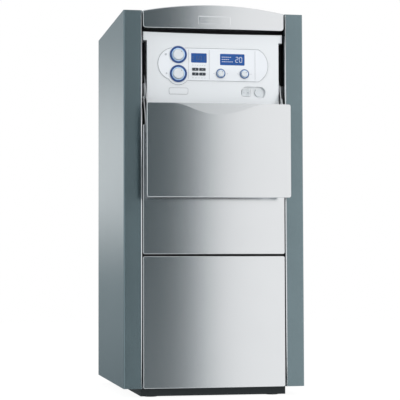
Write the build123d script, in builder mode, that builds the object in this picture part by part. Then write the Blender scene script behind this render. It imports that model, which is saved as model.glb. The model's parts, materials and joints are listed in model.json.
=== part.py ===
from build123d import *
import math
import os

os.makedirs("parts", exist_ok=True)

# A floor standing gas boiler, in millimetres. X runs across the front, Z is up and the
# front faces -Y. Depths are counted back from the plane of the two front pillars, and
# heights up from the lower edge of the side panels.

# Cabinet
cabinet_width = 570
cabinet_depth = 650
cabinet_height = 1169
sheet = 1.2
fold_radius = 4
pillar_width = 58
pillar_return = 16
rear_return = 20
fit_gap = 0.3
overrun = 2

# Stand
plinth_height = 25
plinth_recess = 23
plinth_width = 458
plinth_wall = 2.5
foot_show = 3
foot_inset_x = 92
foot_inset_front = 60
foot_inset_rear = 60
foot_stem_radius = 5
foot_pad_radius = 20
foot_pad_height = 9
foot_travel = 40
foot_nut_flats = 17
foot_nut_height = 9
running_gap = 0.05
tray_wall = 2
tray_rim = 20

# Front panels
panel_gap = 2.8
panel_bow = 6
panel_rim = 20
panel_wall = 1.5
panel_corner = 5
panel_edge = 2
lower_panel_share = 0.34773
panel_joint = 6.5
middle_panel_share = 0.34346
cap_drop = 53
cap_rise = 21
cap_depth = 45
cap_wall = 2.5
cap_corner = 9

# Frame behind the panels
post_width = 30
post_wall = 2
post_inset = 23
frame_back = 66
rail_height = 20
rail_depth = 18

# Flap and its arms
flap_gap = 2
flap_end_gap = 6.25
flap_depth = 11
flap_skin = 2.5
flap_corner = 6
flap_edge = 2
flap_side_band = 20
flap_low_band = 12
flap_top_band = 46
flap_reach = 83
flap_drop_share = 0.8131
grip_inset = 55
grip_drop = 35
grip_depth = 6.5
arm_open_angle = 31
arm_pivot_depth = 27.5
arm_pivot_rise = 125.5
arm_spacing = 42
arm_spacing_angle = 12
arm_tail = 31.5
arm_thickness = 2.5
arm_radius = 5.5
arm_inset = 12.2
arm_gap = 0.7
hinge_pin_radius = 2.5
hinge_head_radius = 4.5
hinge_head = 1.2
hinge_head_gap = 0.4
ear_foot_width = 13
ear_foot_length = 62
bracket_radius = 6.4
bracket_gap = 1.5
bracket_height = 54
bracket_flange_depth = 22

# Control fascia
fascia_depth = 13
fascia_wall = 3
fascia_side_gap = 16.5
shoulder_side_gap = 5
shoulder_height = 27
cap_gap = 11
fascia_low_gap = 8
fascia_sag = 2
plate_lift = 1
plate_thickness = 4
plate_gap = 0.2
plate_side_gap = 35
plate_height = 101.5
plate_drop = 99.2
plate_end_bulge = 30.7
plate_lobe_radius = 35
board_depth = 44
board_thickness = 1.6
board_width = 330
board_height = 150
standoff_radius = 4
chip_shares = (-0.7, -0.3, 0.2, 0.62)
chip_half = 12
chip_thickness = 12
cover_thickness = 2

# Controls on the fascia
dial_x = -111.3
upper_dial_rise = 29.2
lower_dial_drop = 30.3
dial_ring_radius = 27
dial_ring_bore = 18.4
dial_ring_height = 1.6
dial_radius = 17.6
dial_height = 9.4
dial_grip_radius = 15.6
left_encoder_x = 23.5
right_encoder_x = 99.4
encoder_drop = 27.2
encoder_ring_radius = 14.6
encoder_ring_bore = 10.8
encoder_radius = 10
encoder_height = 8.6
knob_lift = 0.5
knob_shaft_radius = 3
knob_shaft_end = 42
knob_edge = 1
knob_dot_radius = 1.4
knob_dot_depth = 0.8
small_display_x = -45.8
small_display_rise = 20.2
small_display_width = 50
small_display_height = 30
main_display_x = 60.8
main_display_rise = 17.1
main_display_width = 79
main_display_height = 36
display_thickness = 8
display_corner = 3
key_middle_x = -46
key_pitch_x = 22.8
key_middle_drop = 22.8
key_pitch_height = 14.8
key_width = 20
key_height = 8.6
key_gap = 0.3
key_lift = 1.6
key_travel = 1.2
key_length = 20
key_lip = 1.5
key_lip_thickness = 1.5
key_corner = 2
divider_width = 0.8
divider_depth = 0.5
left_divider_x = -78.5
middle_divider_x = -12.9
right_divider_x = 133.9
badge_inset = 99.9
badge_drop = 183.8
badge_width = 59
badge_height = 19
badge_lift = 1
badge_corner = 5
recess_inset = 82.3
recess_drop = 184.4
recess_width = 79
recess_height = 37
recess_depth = 8
recess_wall = 3
rocker_offset = 22.2
rocker_half_height = 11
rocker_radius = 14
rocker_axis_depth = 25
rocker_swing = 7
rocker_gap = 0.4
rocker_pin_radius = 1.5
reset_offset = 18.2
reset_radius = 12.5
reset_gap = 0.3
reset_lift = 4
reset_travel = 2
reset_length = 16
reset_lip = 1.5

# Boiler body inside the cabinet
vessel_front_gap = 58
vessel_room = 1807
vessel_wall = 3
vessel_low = 190
vessel_drop = 14.5
end_plate = 8
chamber_gap = 55
chamber_rise = 290
tube_radius = 16
tube_wall = 1.5
tube_edge = 18
insulation_gap = 1
insulation_thickness = 30
flue_box_low = 88
flue_box_wall = 2.5
leg_inset = 55
leg_radius = 12
leg_foot_radius = 20
leg_foot_height = 4
leg_turn_shares = (0.125, 0.375, 0.625, 0.875)
door_inset = 35
door_thickness = 12
neck_radius = 42
neck_height = 38
neck_bore = 26
burner_share = 0.4
burner_wall = 2
burner_length = 172
burner_slot_length = 22
burner_slot_width = 3
burner_slots = 10
burner_slot_rows = 3

# Fan and gas train
fan_lift = 10
fan_radius = 80
fan_half_width = 32
fan_wall = 3
fan_duct_width = 50
fan_flange = 10
fan_flange_thickness = 6
inlet_radius = 30
impeller_radius = 62
impeller_hub_radius = 10
impeller_eye_radius = 36
impeller_half_width = 17
impeller_plate = 2
impeller_vanes = 12
motor_radius = 42
motor_length = 60
motor_shaft_radius = 4
mixer_radius = 33
mixer_length = 42
valve_width = 70
valve_depth = 88
valve_height = 74
coil_radius = 16
coil_offset = 19.2
coil_height = 30

# Pipes
stub_reach = 41
flue_inset = 80
flue_radius = 40
flue_wall = 2.5
flue_bend_share = 0.7
flue_socket_wall = 3
flue_socket_length = 50
flue_socket_show = 40
air_radius = 62.5
air_wall = 2.5
air_collar_height = 45
air_flange_radius = 74
flue_spigot_height = 140
water_radius = 16.625
water_bore = 12.5
thread_length = 38
thread_step = 1.2
flow_drop = 50
high_return_rise = 240
low_return_rise = 60
gas_radius = 13.22
gas_bore = 10
pipe_hole_gap = 0.5
spout_radius = 12
trap_radius = 28
trap_floor_gap = 8
trap_gap = 6
condensate_radius = 10
condensate_bore = 8
condensate_height = 45
drain_rise = 42
drain_radius = 9
drain_bore = 5
drain_block = 26
drain_reach = 59
drain_spindle_radius = 3
drain_spindle_length = 9
lever_length = 46
lever_width = 10
lever_thickness = 3
left_gland_x = -150
right_gland_x = -110
gland_drop = 129
gland_radius = 11
gland_bore = 5
gland_inside = 14
gland_outside = 16
electrode_radius = 6
electrode_length = 88
spark_width = 56
spark_depth = 42
spark_height = 34
screw_head_radius = 4
screw_head = 2
rear_screw_shares = (0.08, 0.36, 0.64, 0.92)
cover_screw_shares = (0.15, 0.85)

# Places that follow from these sizes
front_reach = flap_reach + panel_bow
front_y = (front_reach - cabinet_depth - stub_reach) / 2
side_foot_z = plinth_height + foot_show
panel_width = cabinet_width - 2 * (pillar_width + panel_gap)
niche_width = cabinet_width - 2 * pillar_width
flap_width = niche_width - 2 * flap_gap
grip_half_length = flap_width / 2 - grip_inset
lower_panel_height = lower_panel_share * cabinet_height
middle_panel_height = middle_panel_share * cabinet_height
middle_low = lower_panel_height + panel_joint
middle_high = middle_low + middle_panel_height
cap_low = cabinet_height - cap_drop
seat_depth = panel_rim + fit_gap
post_outer = cabinet_width / 2 - post_inset
post_inner = post_outer - post_width
inner_back = cabinet_depth - 2 * sheet
inner_half = cabinet_width / 2 - sheet - fit_gap
fascia_width = niche_width - 2 * fascia_side_gap
shoulder_width = niche_width - 2 * shoulder_side_gap
fascia_low = middle_high + fascia_low_gap
fascia_high = cap_low - cap_gap
shoulder_low = fascia_high - shoulder_height
plate_front = fascia_depth - plate_lift
plate_back = plate_front + plate_thickness
recess_floor = fascia_depth + recess_depth
plate_middle = fascia_high - plate_drop
plate_half_length = fascia_width / 2 - plate_side_gap
upper_dial_height = plate_middle + upper_dial_rise
lower_dial_height = plate_middle - lower_dial_drop
encoder_x = (left_encoder_x, right_encoder_x)
encoder_level = plate_middle - encoder_drop
small_display = (
    small_display_x,
    plate_middle + small_display_rise,
    small_display_width,
    small_display_height,
)
main_display = (
    main_display_x,
    plate_middle + main_display_rise,
    main_display_width,
    main_display_height,
)
key_middle = plate_middle - key_middle_drop
key_columns = (key_middle_x - key_pitch_x / 2, key_middle_x + key_pitch_x / 2)
key_rows = (key_middle - key_pitch_height / 2, key_middle + key_pitch_height / 2)
divider_x = (left_divider_x, middle_divider_x, right_divider_x)
badge_x = badge_inset - fascia_width / 2
badge_level = fascia_high - badge_drop
recess_x = fascia_width / 2 - recess_inset
rocker_x = recess_x - rocker_offset
reset_x = recess_x + reset_offset
recess_level = fascia_high - recess_drop
arm_plane = flap_width / 2 - arm_inset
ear_plane = arm_plane + arm_thickness + arm_gap
lower_arm_plane = ear_plane + arm_thickness + arm_gap

flap_height = cap_low - middle_high - 2 * flap_end_gap
flap_closed_low = middle_high + flap_end_gap

# The flap travels on two parallel arms a side, and stays upright. The arms point forward
# and down when it is open, and a little past straight up when it is closed.
flap_drop = flap_drop_share * flap_height
flap_chord = math.hypot(flap_reach, flap_drop)
flap_chord_angle = math.degrees(math.atan2(flap_reach, flap_drop))
arm_sweep = 2 * (90 + flap_chord_angle - arm_open_angle)
arm_length = flap_chord / (2 * math.sin(math.radians(arm_sweep / 2)))
flap_low = flap_closed_low - flap_drop
flap_high = flap_low + flap_height
flap_front = -flap_reach
flap_back = flap_front + flap_depth

# The boiler body stands behind the front frame. Its vessel grows with the cabinet's floor
# area, so that it stays clear of the sides and of the flue in the rear corner. The fan is
# over its burner door.
vessel_radius = cabinet_width * cabinet_depth / vessel_room
vessel_high = middle_high - vessel_drop
chamber_low = vessel_low + chamber_rise
vessel_depth = frame_back + vessel_front_gap + vessel_radius
chamber_radius = vessel_radius - chamber_gap
leg_ring_radius = vessel_radius - leg_inset
door_radius = vessel_radius - door_inset
burner_radius = burner_share * chamber_radius
electrode_ring = (burner_radius + chamber_radius) / 2
tube_pitch = (chamber_radius - tube_radius - tube_edge) / 2
vessel_rear = vessel_depth + vessel_radius
rear_end = cabinet_depth + stub_reach
fan_depth = vessel_depth + fan_radius - fan_duct_width / 2
fan_height = vessel_high + door_thickness + neck_height + fan_radius + fan_lift
gas_x = fan_half_width + mixer_length + valve_width / 2
flue_x = cabinet_width / 2 - flue_inset
flue_depth = cabinet_depth - flue_inset
flow_height = vessel_high - flow_drop
high_return_height = vessel_low + high_return_rise
low_return_height = vessel_low + low_return_rise
drain_height = vessel_low + drain_rise
drain_block_depth = vessel_depth - vessel_radius - drain_reach
gland_x = (left_gland_x, right_gland_x)
gland_height = cabinet_height - gland_drop


def y_at(depth):
    return front_y + depth


def z_at(height):
    return side_foot_z + height


def spot(x, depth, height):
    """A point by its place across, its depth and its height."""
    return (x, y_at(depth), z_at(height))


def swung(pivot, angle, length):
    """A point at a length from a pivot, by an angle forward from straight down."""
    turn = math.radians(angle)
    return (pivot[0] - length * math.sin(turn), pivot[1] - length * math.cos(turn))


upper_pivot = (arm_pivot_depth, middle_high + arm_pivot_rise)
lower_pivot = swung(upper_pivot, arm_spacing_angle, arm_spacing)
upper_ear = swung(upper_pivot, arm_open_angle, arm_length)
lower_ear = swung(lower_pivot, arm_open_angle, arm_length)


def level(height):
    """A plane for an outline seen from above."""
    return Plane.XY.offset(z_at(height))


def facing(depth):
    """A plane for an outline seen from the front, at its back: it is extruded forward."""
    return Plane(origin=(0, y_at(depth), 0), x_dir=(1, 0, 0), z_dir=(0, -1, 0))


def beside(x):
    """A plane for an outline seen from the right, extruded to the right."""
    return Plane.YZ.offset(x)


def on_front(x, height):
    return (x, z_at(height))


def on_side(point):
    return (y_at(point[0]), z_at(point[1]))


def block(x_range, depths, heights, mode=Mode.ADD):
    """A box between two places across, two depths and two heights."""
    (left, right), (front, back), (low, high) = x_range, depths, heights
    with Locations(spot((left + right) / 2, (front + back) / 2, (low + high) / 2)):
        Box(right - left, back - front, high - low, mode=mode)


def rod_x(x_range, depth, height, radius, mode=Mode.ADD):
    with Locations(spot(sum(x_range) / 2, depth, height)):
        Cylinder(radius, x_range[1] - x_range[0], rotation=(0, 90, 0), mode=mode)


def rod_y(x, depths, height, radius, mode=Mode.ADD):
    with Locations(spot(x, sum(depths) / 2, height)):
        Cylinder(radius, depths[1] - depths[0], rotation=(90, 0, 0), mode=mode)


def rod_z(x, depth, heights, radius, mode=Mode.ADD):
    with Locations(spot(x, depth, sum(heights) / 2)):
        Cylinder(radius, heights[1] - heights[0], mode=mode)


def sided(side, near, far):
    """A range across, given for the right side and mirrored for the left."""
    return (near, far) if side > 0 else (-far, -near)


def save(piece, name):
    piece.part.label = name
    export_step(piece.part, f"parts/{name}.step")


def bowed_block(width, heights, front, back, bow, corner, edge):
    """A block whose front bows forward between its side edges."""
    low, high = heights
    with BuildPart() as blank:
        with BuildSketch(level(low)):
            with BuildLine():
                left = (-width / 2, y_at(front))
                right = (width / 2, y_at(front))
                ThreePointArc(left, (0, y_at(front - bow)), right)
                Line(right, (width / 2, y_at(back)))
                Line((width / 2, y_at(back)), (-width / 2, y_at(back)))
                Line((-width / 2, y_at(back)), left)
            make_face()
        extrude(amount=high - low)
        if corner:
            fillet(blank.edges().filter_by(Axis.Y), corner)
        if edge:
            skin = blank.faces().sort_by(Axis.Y)[0]
            fillet(skin.edges(), edge)
    return blank.part


# Side panels: each is one sheet folded round the front pillar and the rear corner
def side_panel(side):
    outer = side * cabinet_width / 2
    inner = outer - side * pillar_width
    with BuildPart() as panel:
        with BuildSketch(level(0)):
            with BuildLine():
                FilletPolyline(
                    (inner, y_at(pillar_return)),
                    (inner, y_at(0)),
                    (outer, y_at(0)),
                    (outer, y_at(cabinet_depth)),
                    (outer - side * rear_return, y_at(cabinet_depth)),
                    radius=fold_radius,
                )
                offset(amount=sheet, side=Side.LEFT if side > 0 else Side.RIGHT)
            make_face()
        extrude(amount=cabinet_height)
    return panel


left_side_panel = side_panel(-1)
right_side_panel = side_panel(1)
save(left_side_panel, "left_side_panel")
save(right_side_panel, "right_side_panel")


# Top cover: a pan turned down, notched for the front cap and holed for the flue
def cover_outline(inset):
    half = inner_half - inset
    notch = niche_width / 2 + sheet + fit_gap + inset
    front = sheet + fit_gap + inset
    step = cap_depth + fit_gap + inset
    back = inner_back - fit_gap - inset
    right = [(notch, step), (notch, front), (half, front), (half, back)]
    left = [(-x, depth) for x, depth in reversed(right)]
    return [(x, y_at(depth)) for x, depth in right + left]


with BuildPart() as top_cover:
    with BuildSketch(level(cabinet_height - tray_rim)):
        with BuildLine():
            FilletPolyline(*cover_outline(0), radius=fold_radius, close=True)
        make_face()
    extrude(amount=tray_rim)
    with BuildSketch(level(cabinet_height - tray_rim)):
        with BuildLine():
            FilletPolyline(*cover_outline(sheet), radius=fold_radius, close=True)
        make_face()
    extrude(amount=tray_rim - sheet, mode=Mode.SUBTRACT)
    cover_span = (cabinet_height - tray_rim, cabinet_height + overrun)
    rod_z(flue_x, flue_depth, cover_span, air_radius, mode=Mode.SUBTRACT)
save(top_cover, "top_cover")

# Front cap: an arched trim over the control niche, open at the back
def arched(width, low, side_high, high, corner):
    with BuildSketch() as outline:
        with BuildLine():
            start = on_front(-width / 2, side_high)
            end = on_front(width / 2, side_high)
            ThreePointArc(start, on_front(0, high), end)
            Line(end, on_front(width / 2, low))
            Line(on_front(width / 2, low), on_front(-width / 2, low))
            Line(on_front(-width / 2, low), start)
        make_face()
        fillet(outline.vertices().group_by(Axis.Y)[0], corner)
    return outline.sketch


cap_peak = cabinet_height + cap_rise
cap_blank_rise = (cap_low - overrun, cap_peak + overrun)
cap_blank_width = panel_width + overrun
cap_outer = bowed_block(cap_blank_width, cap_blank_rise, 0, cap_depth, panel_bow, 0, 0)
cap_inner = bowed_block(
    cap_blank_width,
    cap_blank_rise,
    cap_wall,
    cap_depth + overrun,
    panel_bow,
    0,
    0,
)
with BuildPart() as cap_hollow:
    add(cap_inner)
    with BuildSketch(facing(cap_depth + overrun)):
        add(
            arched(
                panel_width - 2 * cap_wall,
                cap_low + cap_wall,
                cabinet_height - cap_wall,
                cap_peak - cap_wall,
                cap_corner - cap_wall,
            )
        )
    extrude(amount=cap_depth + panel_bow + 2 * overrun, mode=Mode.INTERSECT)
with BuildPart() as front_cap:
    add(cap_outer)
    with BuildSketch(facing(cap_depth)):
        add(arched(panel_width, cap_low, cabinet_height, cap_peak, cap_corner))
    extrude(amount=cap_depth + panel_bow + overrun, mode=Mode.INTERSECT)
    fillet(front_cap.faces().sort_by(Axis.Y)[0].edges(), panel_edge)
    add(cap_hollow.part, mode=Mode.SUBTRACT)
save(front_cap, "front_cap")

# Rear panel, with a hole for each pipe and gland
pipe_holes = [
    (0, flow_height, water_radius),
    (0, high_return_height, water_radius),
    (0, low_return_height, water_radius),
    (gas_x, fan_height, gas_radius),
    (0, condensate_height, condensate_radius),
]
rear_half = cabinet_width / 2 - fold_radius - fit_gap
with BuildPart() as rear_panel:
    block((-rear_half, rear_half), (inner_back, inner_back + sheet), (0, cabinet_height))
    for hole_x, hole_height, pipe_radius in pipe_holes:
        hole_span = (inner_back - overrun, cabinet_depth + overrun)
        hole_radius = pipe_radius + pipe_hole_gap
        rod_y(hole_x, hole_span, hole_height, hole_radius, mode=Mode.SUBTRACT)
    for hole_x in gland_x:
        hole_span = (inner_back - overrun, cabinet_depth + overrun)
        rod_y(hole_x, hole_span, gland_height, gland_radius - sheet, mode=Mode.SUBTRACT)
save(rear_panel, "rear_panel")


# Middle and lower front panels: bowed pans with a turned-in rim
def front_panel(low, high):
    outer = bowed_block(
        panel_width, (low, high), 0, panel_rim, panel_bow, panel_corner, panel_edge
    )
    inner = bowed_block(
        panel_width - 2 * panel_wall,
        (low + panel_wall, high - panel_wall),
        panel_wall,
        panel_rim + overrun,
        panel_bow,
        panel_corner - panel_wall,
        0,
    )
    with BuildPart() as panel:
        add(outer)
        add(inner, mode=Mode.SUBTRACT)
    return panel


middle_panel = front_panel(middle_low, middle_high)
lower_panel = front_panel(0, lower_panel_height)
save(middle_panel, "middle_panel")
save(lower_panel, "lower_panel")

# Base tray and the four bars of the plinth under it
foot_x = cabinet_width / 2 - foot_inset_x
foot_places = {
    "front_left_foot": (-foot_x, foot_inset_front),
    "front_right_foot": (foot_x, foot_inset_front),
    "rear_left_foot": (-foot_x, cabinet_depth - foot_inset_rear),
    "rear_right_foot": (foot_x, cabinet_depth - foot_inset_rear),
}
with BuildPart() as base_tray:
    tray_depths = (seat_depth, inner_back - fit_gap)
    inner_depths = (seat_depth + tray_wall, inner_back - fit_gap - tray_wall)
    tray_inner = inner_half - tray_wall
    block((-inner_half, inner_half), tray_depths, (0, tray_rim))
    block((-tray_inner, tray_inner), inner_depths, (tray_wall, tray_rim + overrun), Mode.SUBTRACT)
    for stem_x, stem_depth in foot_places.values():
        stem_hole = foot_stem_radius + running_gap
        rod_z(stem_x, stem_depth, (-overrun, tray_rim), stem_hole, mode=Mode.SUBTRACT)
save(base_tray, "base_tray")

with BuildPart() as plinth:
    half = plinth_width / 2
    plinth_back = cabinet_depth - plinth_recess
    plinth_rise = (-plinth_height, 0)
    front_bar = (plinth_recess, plinth_recess + plinth_wall)
    rear_bar = (plinth_back - plinth_wall, plinth_back)
    block((-half, half), front_bar, plinth_rise)
    block((-half, half), rear_bar, plinth_rise)
    block((half - plinth_wall, half), (front_bar[1], rear_bar[0]), plinth_rise)
    block((-half, plinth_wall - half), (front_bar[1], rear_bar[0]), plinth_rise)
save(plinth, "plinth")

# Levelling feet and their nuts
with BuildPart() as foot_nuts:
    for stem_x, stem_depth in foot_places.values():
        with BuildSketch(level(-foot_nut_height)):
            with Locations((stem_x, y_at(stem_depth))):
                RegularPolygon(foot_nut_flats / 2, 6, major_radius=False)
                Circle(foot_stem_radius + running_gap, mode=Mode.SUBTRACT)
        extrude(amount=foot_nut_height)
save(foot_nuts, "foot_nuts")

for foot_name, (stem_x, stem_depth) in foot_places.items():
    with BuildPart() as foot:
        with BuildSketch(Plane.XY):
            with Locations((stem_x, y_at(stem_depth))):
                Circle(foot_pad_radius)
        extrude(amount=foot_pad_height)
        chamfer(foot.faces().sort_by(Axis.Z)[-1].edges(), foot_pad_height / 3)
        stem_top = foot_travel + tray_wall + foot_show
        rod_z(stem_x, stem_depth, (-plinth_height, stem_top), foot_stem_radius)
    save(foot, foot_name)

# Front frame: two posts and two rails that carry the panels and the controls
with BuildPart() as front_frame:
    post_high = cabinet_height - sheet
    rail_depths = (seat_depth, seat_depth + rail_depth)
    for side in (-1, 1):
        outer_x = sided(side, post_inner, post_outer)
        block(outer_x, (seat_depth + tray_wall, frame_back), (tray_wall, post_high))
        inner_x = sided(side, post_inner + post_wall, post_outer - post_wall)
        inner_post = (seat_depth + tray_wall + post_wall, frame_back - post_wall)
        block(inner_x, inner_post, (0, cabinet_height), mode=Mode.SUBTRACT)
    panel_joint_middle = lower_panel_height + panel_joint / 2
    for rail_middle in (panel_joint_middle, middle_high - rail_height / 2 - panel_wall):
        rail_span = (rail_middle - rail_height / 2, rail_middle + rail_height / 2)
        block((-post_inner, post_inner), rail_depths, rail_span)
save(front_frame, "front_frame")

# Control fascia: a moulded frame with wider shoulders, open at the back
def fascia_outline(inset):
    half = fascia_width / 2 - inset
    shoulder = shoulder_width / 2 - inset
    low = fascia_low + inset
    step = shoulder_low + inset
    high = fascia_high - inset
    with BuildSketch() as outline:
        with BuildLine():
            Polyline(
                on_front(-shoulder, high),
                on_front(-shoulder, step),
                on_front(-half, step),
                on_front(-half, low),
                on_front(half, low),
                on_front(half, step),
                on_front(shoulder, step),
                on_front(shoulder, high),
            )
            sag_point = on_front(0, high - fascia_sag)
            ThreePointArc(on_front(shoulder, high), sag_point, on_front(-shoulder, high))
        make_face()
    return outline.sketch


def plate_outline(grow):
    """The pill of the control plate, with a lobe round the lower dial."""
    half_height = plate_height / 2 + grow
    left_centre = half_height - plate_half_length - grow
    right_corner = plate_half_length - plate_end_bulge + grow
    low, high = plate_middle - half_height, plate_middle + half_height
    with BuildSketch() as outline:
        with BuildLine():
            Line(on_front(left_centre, high), on_front(right_corner, high))
            ThreePointArc(
                on_front(right_corner, high),
                on_front(plate_half_length + grow, plate_middle),
                on_front(right_corner, low),
            )
            Line(on_front(right_corner, low), on_front(left_centre, low))
            ThreePointArc(
                on_front(left_centre, low),
                on_front(-plate_half_length - grow, plate_middle),
                on_front(left_centre, high),
            )
        make_face()
        with Locations(on_front(dial_x, lower_dial_height)):
            Circle(plate_lobe_radius + grow)
    return outline.sketch


def recess_outline(grow):
    with Locations(on_front(recess_x, recess_level)):
        SlotOverall(recess_width + 2 * grow, recess_height + 2 * grow)


rocker_hole_half = rocker_radius + rocker_gap
with BuildPart() as control_fascia:
    with BuildSketch(facing(frame_back)):
        add(fascia_outline(0))
    extrude(amount=frame_back - fascia_depth)
    fillet(control_fascia.faces().sort_by(Axis.Y)[0].edges(), fascia_wall / 2)
    with BuildSketch(facing(frame_back)):
        add(fascia_outline(fascia_wall))
    extrude(amount=frame_back - fascia_depth - fascia_wall, mode=Mode.SUBTRACT)
    with BuildSketch(facing(recess_floor + recess_wall)):
        recess_outline(recess_wall)
    extrude(amount=recess_depth + recess_wall - fascia_wall)
    with BuildSketch(facing(recess_floor)):
        recess_outline(0)
    extrude(amount=recess_depth + overrun, mode=Mode.SUBTRACT)
    with BuildSketch(facing(plate_back + overrun)):
        add(plate_outline(plate_gap))
    extrude(amount=plate_thickness + 2 * overrun, mode=Mode.SUBTRACT)
    with BuildSketch(facing(fascia_depth)):
        with Locations(on_front(badge_x, badge_level)):
            RectangleRounded(badge_width, badge_height, badge_corner)
    extrude(amount=badge_lift)
    floor_span = (recess_floor - overrun, recess_floor + recess_wall + overrun)
    block(
        (rocker_x - rocker_hole_half, rocker_x + rocker_hole_half),
        floor_span,
        (
            recess_level - rocker_half_height - rocker_gap,
            recess_level + rocker_half_height + rocker_gap,
        ),
        mode=Mode.SUBTRACT,
    )
    rod_y(reset_x, floor_span, recess_level, reset_radius + reset_gap, mode=Mode.SUBTRACT)
    for ear_level in (-1, 1):
        lug_low = recess_level + ear_level * (rocker_half_height + rocker_gap)
        lug_high = lug_low + ear_level * recess_wall
        lug_depths = (recess_floor, rocker_axis_depth + rocker_pin_radius + recess_wall)
        lug_x = (rocker_x - recess_wall, rocker_x + recess_wall)
        block(lug_x, lug_depths, (min(lug_low, lug_high), max(lug_low, lug_high)))
    pin_reach = rocker_half_height + rocker_gap + recess_wall + overrun
    rod_z(
        rocker_x,
        rocker_axis_depth,
        (recess_level - pin_reach, recess_level + pin_reach),
        rocker_pin_radius + running_gap,
        mode=Mode.SUBTRACT,
    )
save(control_fascia, "control_fascia")

# Control plate with its dial, key and display openings
displays = (small_display, main_display)
key_places = {
    "lower_left_key": (key_columns[0], key_rows[0]),
    "lower_right_key": (key_columns[1], key_rows[0]),
    "upper_left_key": (key_columns[0], key_rows[1]),
    "upper_right_key": (key_columns[1], key_rows[1]),
}
knob_places = {
    "upper_dial": (dial_x, upper_dial_height),
    "lower_dial": (dial_x, lower_dial_height),
    "left_encoder_knob": (encoder_x[0], encoder_level),
    "right_encoder_knob": (encoder_x[1], encoder_level),
}
with BuildPart() as control_plate:
    with BuildSketch(facing(plate_back)):
        add(plate_outline(0))
        for window_x, window_height, window_width, window_rise in displays:
            with Locations(on_front(window_x, window_height)):
                RectangleRounded(window_width, window_rise, display_corner, mode=Mode.SUBTRACT)
        with Locations(*[on_front(*place) for place in key_places.values()]):
            RectangleRounded(
                key_width + 2 * key_gap, key_height + 2 * key_gap, key_corner, mode=Mode.SUBTRACT
            )
        with Locations(*[on_front(*place) for place in knob_places.values()]):
            Circle(knob_shaft_radius + running_gap, mode=Mode.SUBTRACT)
    extrude(amount=plate_thickness)
    groove_high = plate_height / 2 - plate_gap
    for groove_x in divider_x:
        block(
            (groove_x - divider_width / 2, groove_x + divider_width / 2),
            (plate_front - overrun, plate_front + divider_depth),
            (plate_middle - groove_high, plate_middle + groove_high),
            mode=Mode.SUBTRACT,
        )
save(control_plate, "control_plate")

with BuildPart() as dial_rings:
    for ring_x, ring_height in knob_places.values():
        large = ring_x == dial_x
        with BuildSketch(facing(plate_front)):
            with Locations(on_front(ring_x, ring_height)):
                Circle(dial_ring_radius if large else encoder_ring_radius)
                Circle(dial_ring_bore if large else encoder_ring_bore, mode=Mode.SUBTRACT)
        extrude(amount=dial_ring_height)
save(dial_rings, "dial_rings")

with BuildPart() as display_windows:
    for window_x, window_height, window_width, window_rise in displays:
        with BuildSketch(facing(plate_front + display_thickness)):
            with Locations(on_front(window_x, window_height)):
                RectangleRounded(window_width, window_rise, display_corner)
        extrude(amount=display_thickness)
save(display_windows, "display_windows")


# Knobs on their shafts, each with a pointer dot
def knob(place, radius, height, grip_radius):
    knob_x, knob_height = place
    top = plate_front - knob_lift - height
    with BuildPart() as cap:
        with BuildSketch(facing(plate_front - knob_lift)):
            with Locations(on_front(knob_x, knob_height)):
                Circle(radius)
        extrude(amount=height, taper=math.degrees(math.atan((radius - grip_radius) / height)))
        fillet(cap.faces().sort_by(Axis.Y)[0].edges(), knob_edge)
        dot_reach = (grip_radius - 2 * knob_dot_radius) * math.sqrt(1 / 2)
        dot_depths = (top - overrun, top + knob_dot_depth)
        dot_x, dot_height = knob_x + dot_reach, knob_height + dot_reach
        rod_y(dot_x, dot_depths, dot_height, knob_dot_radius, mode=Mode.SUBTRACT)
        shaft = (top + height / 2, knob_shaft_end)
        rod_y(knob_x, shaft, knob_height, knob_shaft_radius)
    return cap


encoder_grip = encoder_radius - knob_edge / 2
for knob_name, knob_place in knob_places.items():
    if "dial" in knob_name:
        save(knob(knob_place, dial_radius, dial_height, dial_grip_radius), knob_name)
    else:
        save(knob(knob_place, encoder_radius, encoder_height, encoder_grip), knob_name)

# Keys, each held behind the plate by its lip
for key_name, (key_x, key_level) in key_places.items():
    with BuildPart() as key:
        with BuildSketch(facing(plate_front - key_lift + key_length)):
            with Locations(on_front(key_x, key_level)):
                RectangleRounded(key_width, key_height, key_corner)
        extrude(amount=key_length)
        fillet(key.faces().sort_by(Axis.Y)[0].edges(), knob_edge / 2)
        with BuildSketch(facing(plate_back + fit_gap + key_lip_thickness)):
            with Locations(on_front(key_x, key_level)):
                Rectangle(key_width + key_lip, key_height + 2 * key_lip)
        extrude(amount=key_lip_thickness)
    save(key, key_name)

# Mains rocker, shown pressed at its left, and the round reset button
with BuildPart() as mains_rocker:
    with BuildSketch(level(recess_level - rocker_half_height)):
        with Locations((rocker_x, y_at(rocker_axis_depth))):
            Circle(rocker_radius)
            with Locations((0, rocker_radius)):
                Rectangle(2 * rocker_radius, 2 * rocker_radius - recess_wall, mode=Mode.SUBTRACT)
        face_reach = rocker_radius + overrun
        face_rise = face_reach * math.tan(math.radians(rocker_swing))
        with BuildLine():
            face_depth = recess_floor - recess_wall
            Polyline(
                (rocker_x - face_reach, y_at(face_depth - face_rise)),
                (rocker_x, y_at(face_depth)),
                (rocker_x + face_reach, y_at(face_depth - face_rise)),
                (rocker_x + face_reach, y_at(face_depth - rocker_radius)),
                (rocker_x - face_reach, y_at(face_depth - rocker_radius)),
                close=True,
            )
        make_face(mode=Mode.SUBTRACT)
    extrude(amount=2 * rocker_half_height)
    pin_half = rocker_half_height + rocker_gap + recess_wall
    pin_span = (recess_level - pin_half, recess_level + pin_half)
    rod_z(rocker_x, rocker_axis_depth, pin_span, rocker_pin_radius)
rocker_axis = Axis(spot(rocker_x, rocker_axis_depth, 0), (0, 0, 1))
mains_rocker.part = mains_rocker.part.rotate(rocker_axis, -rocker_swing)
save(mains_rocker, "mains_rocker")

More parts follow.
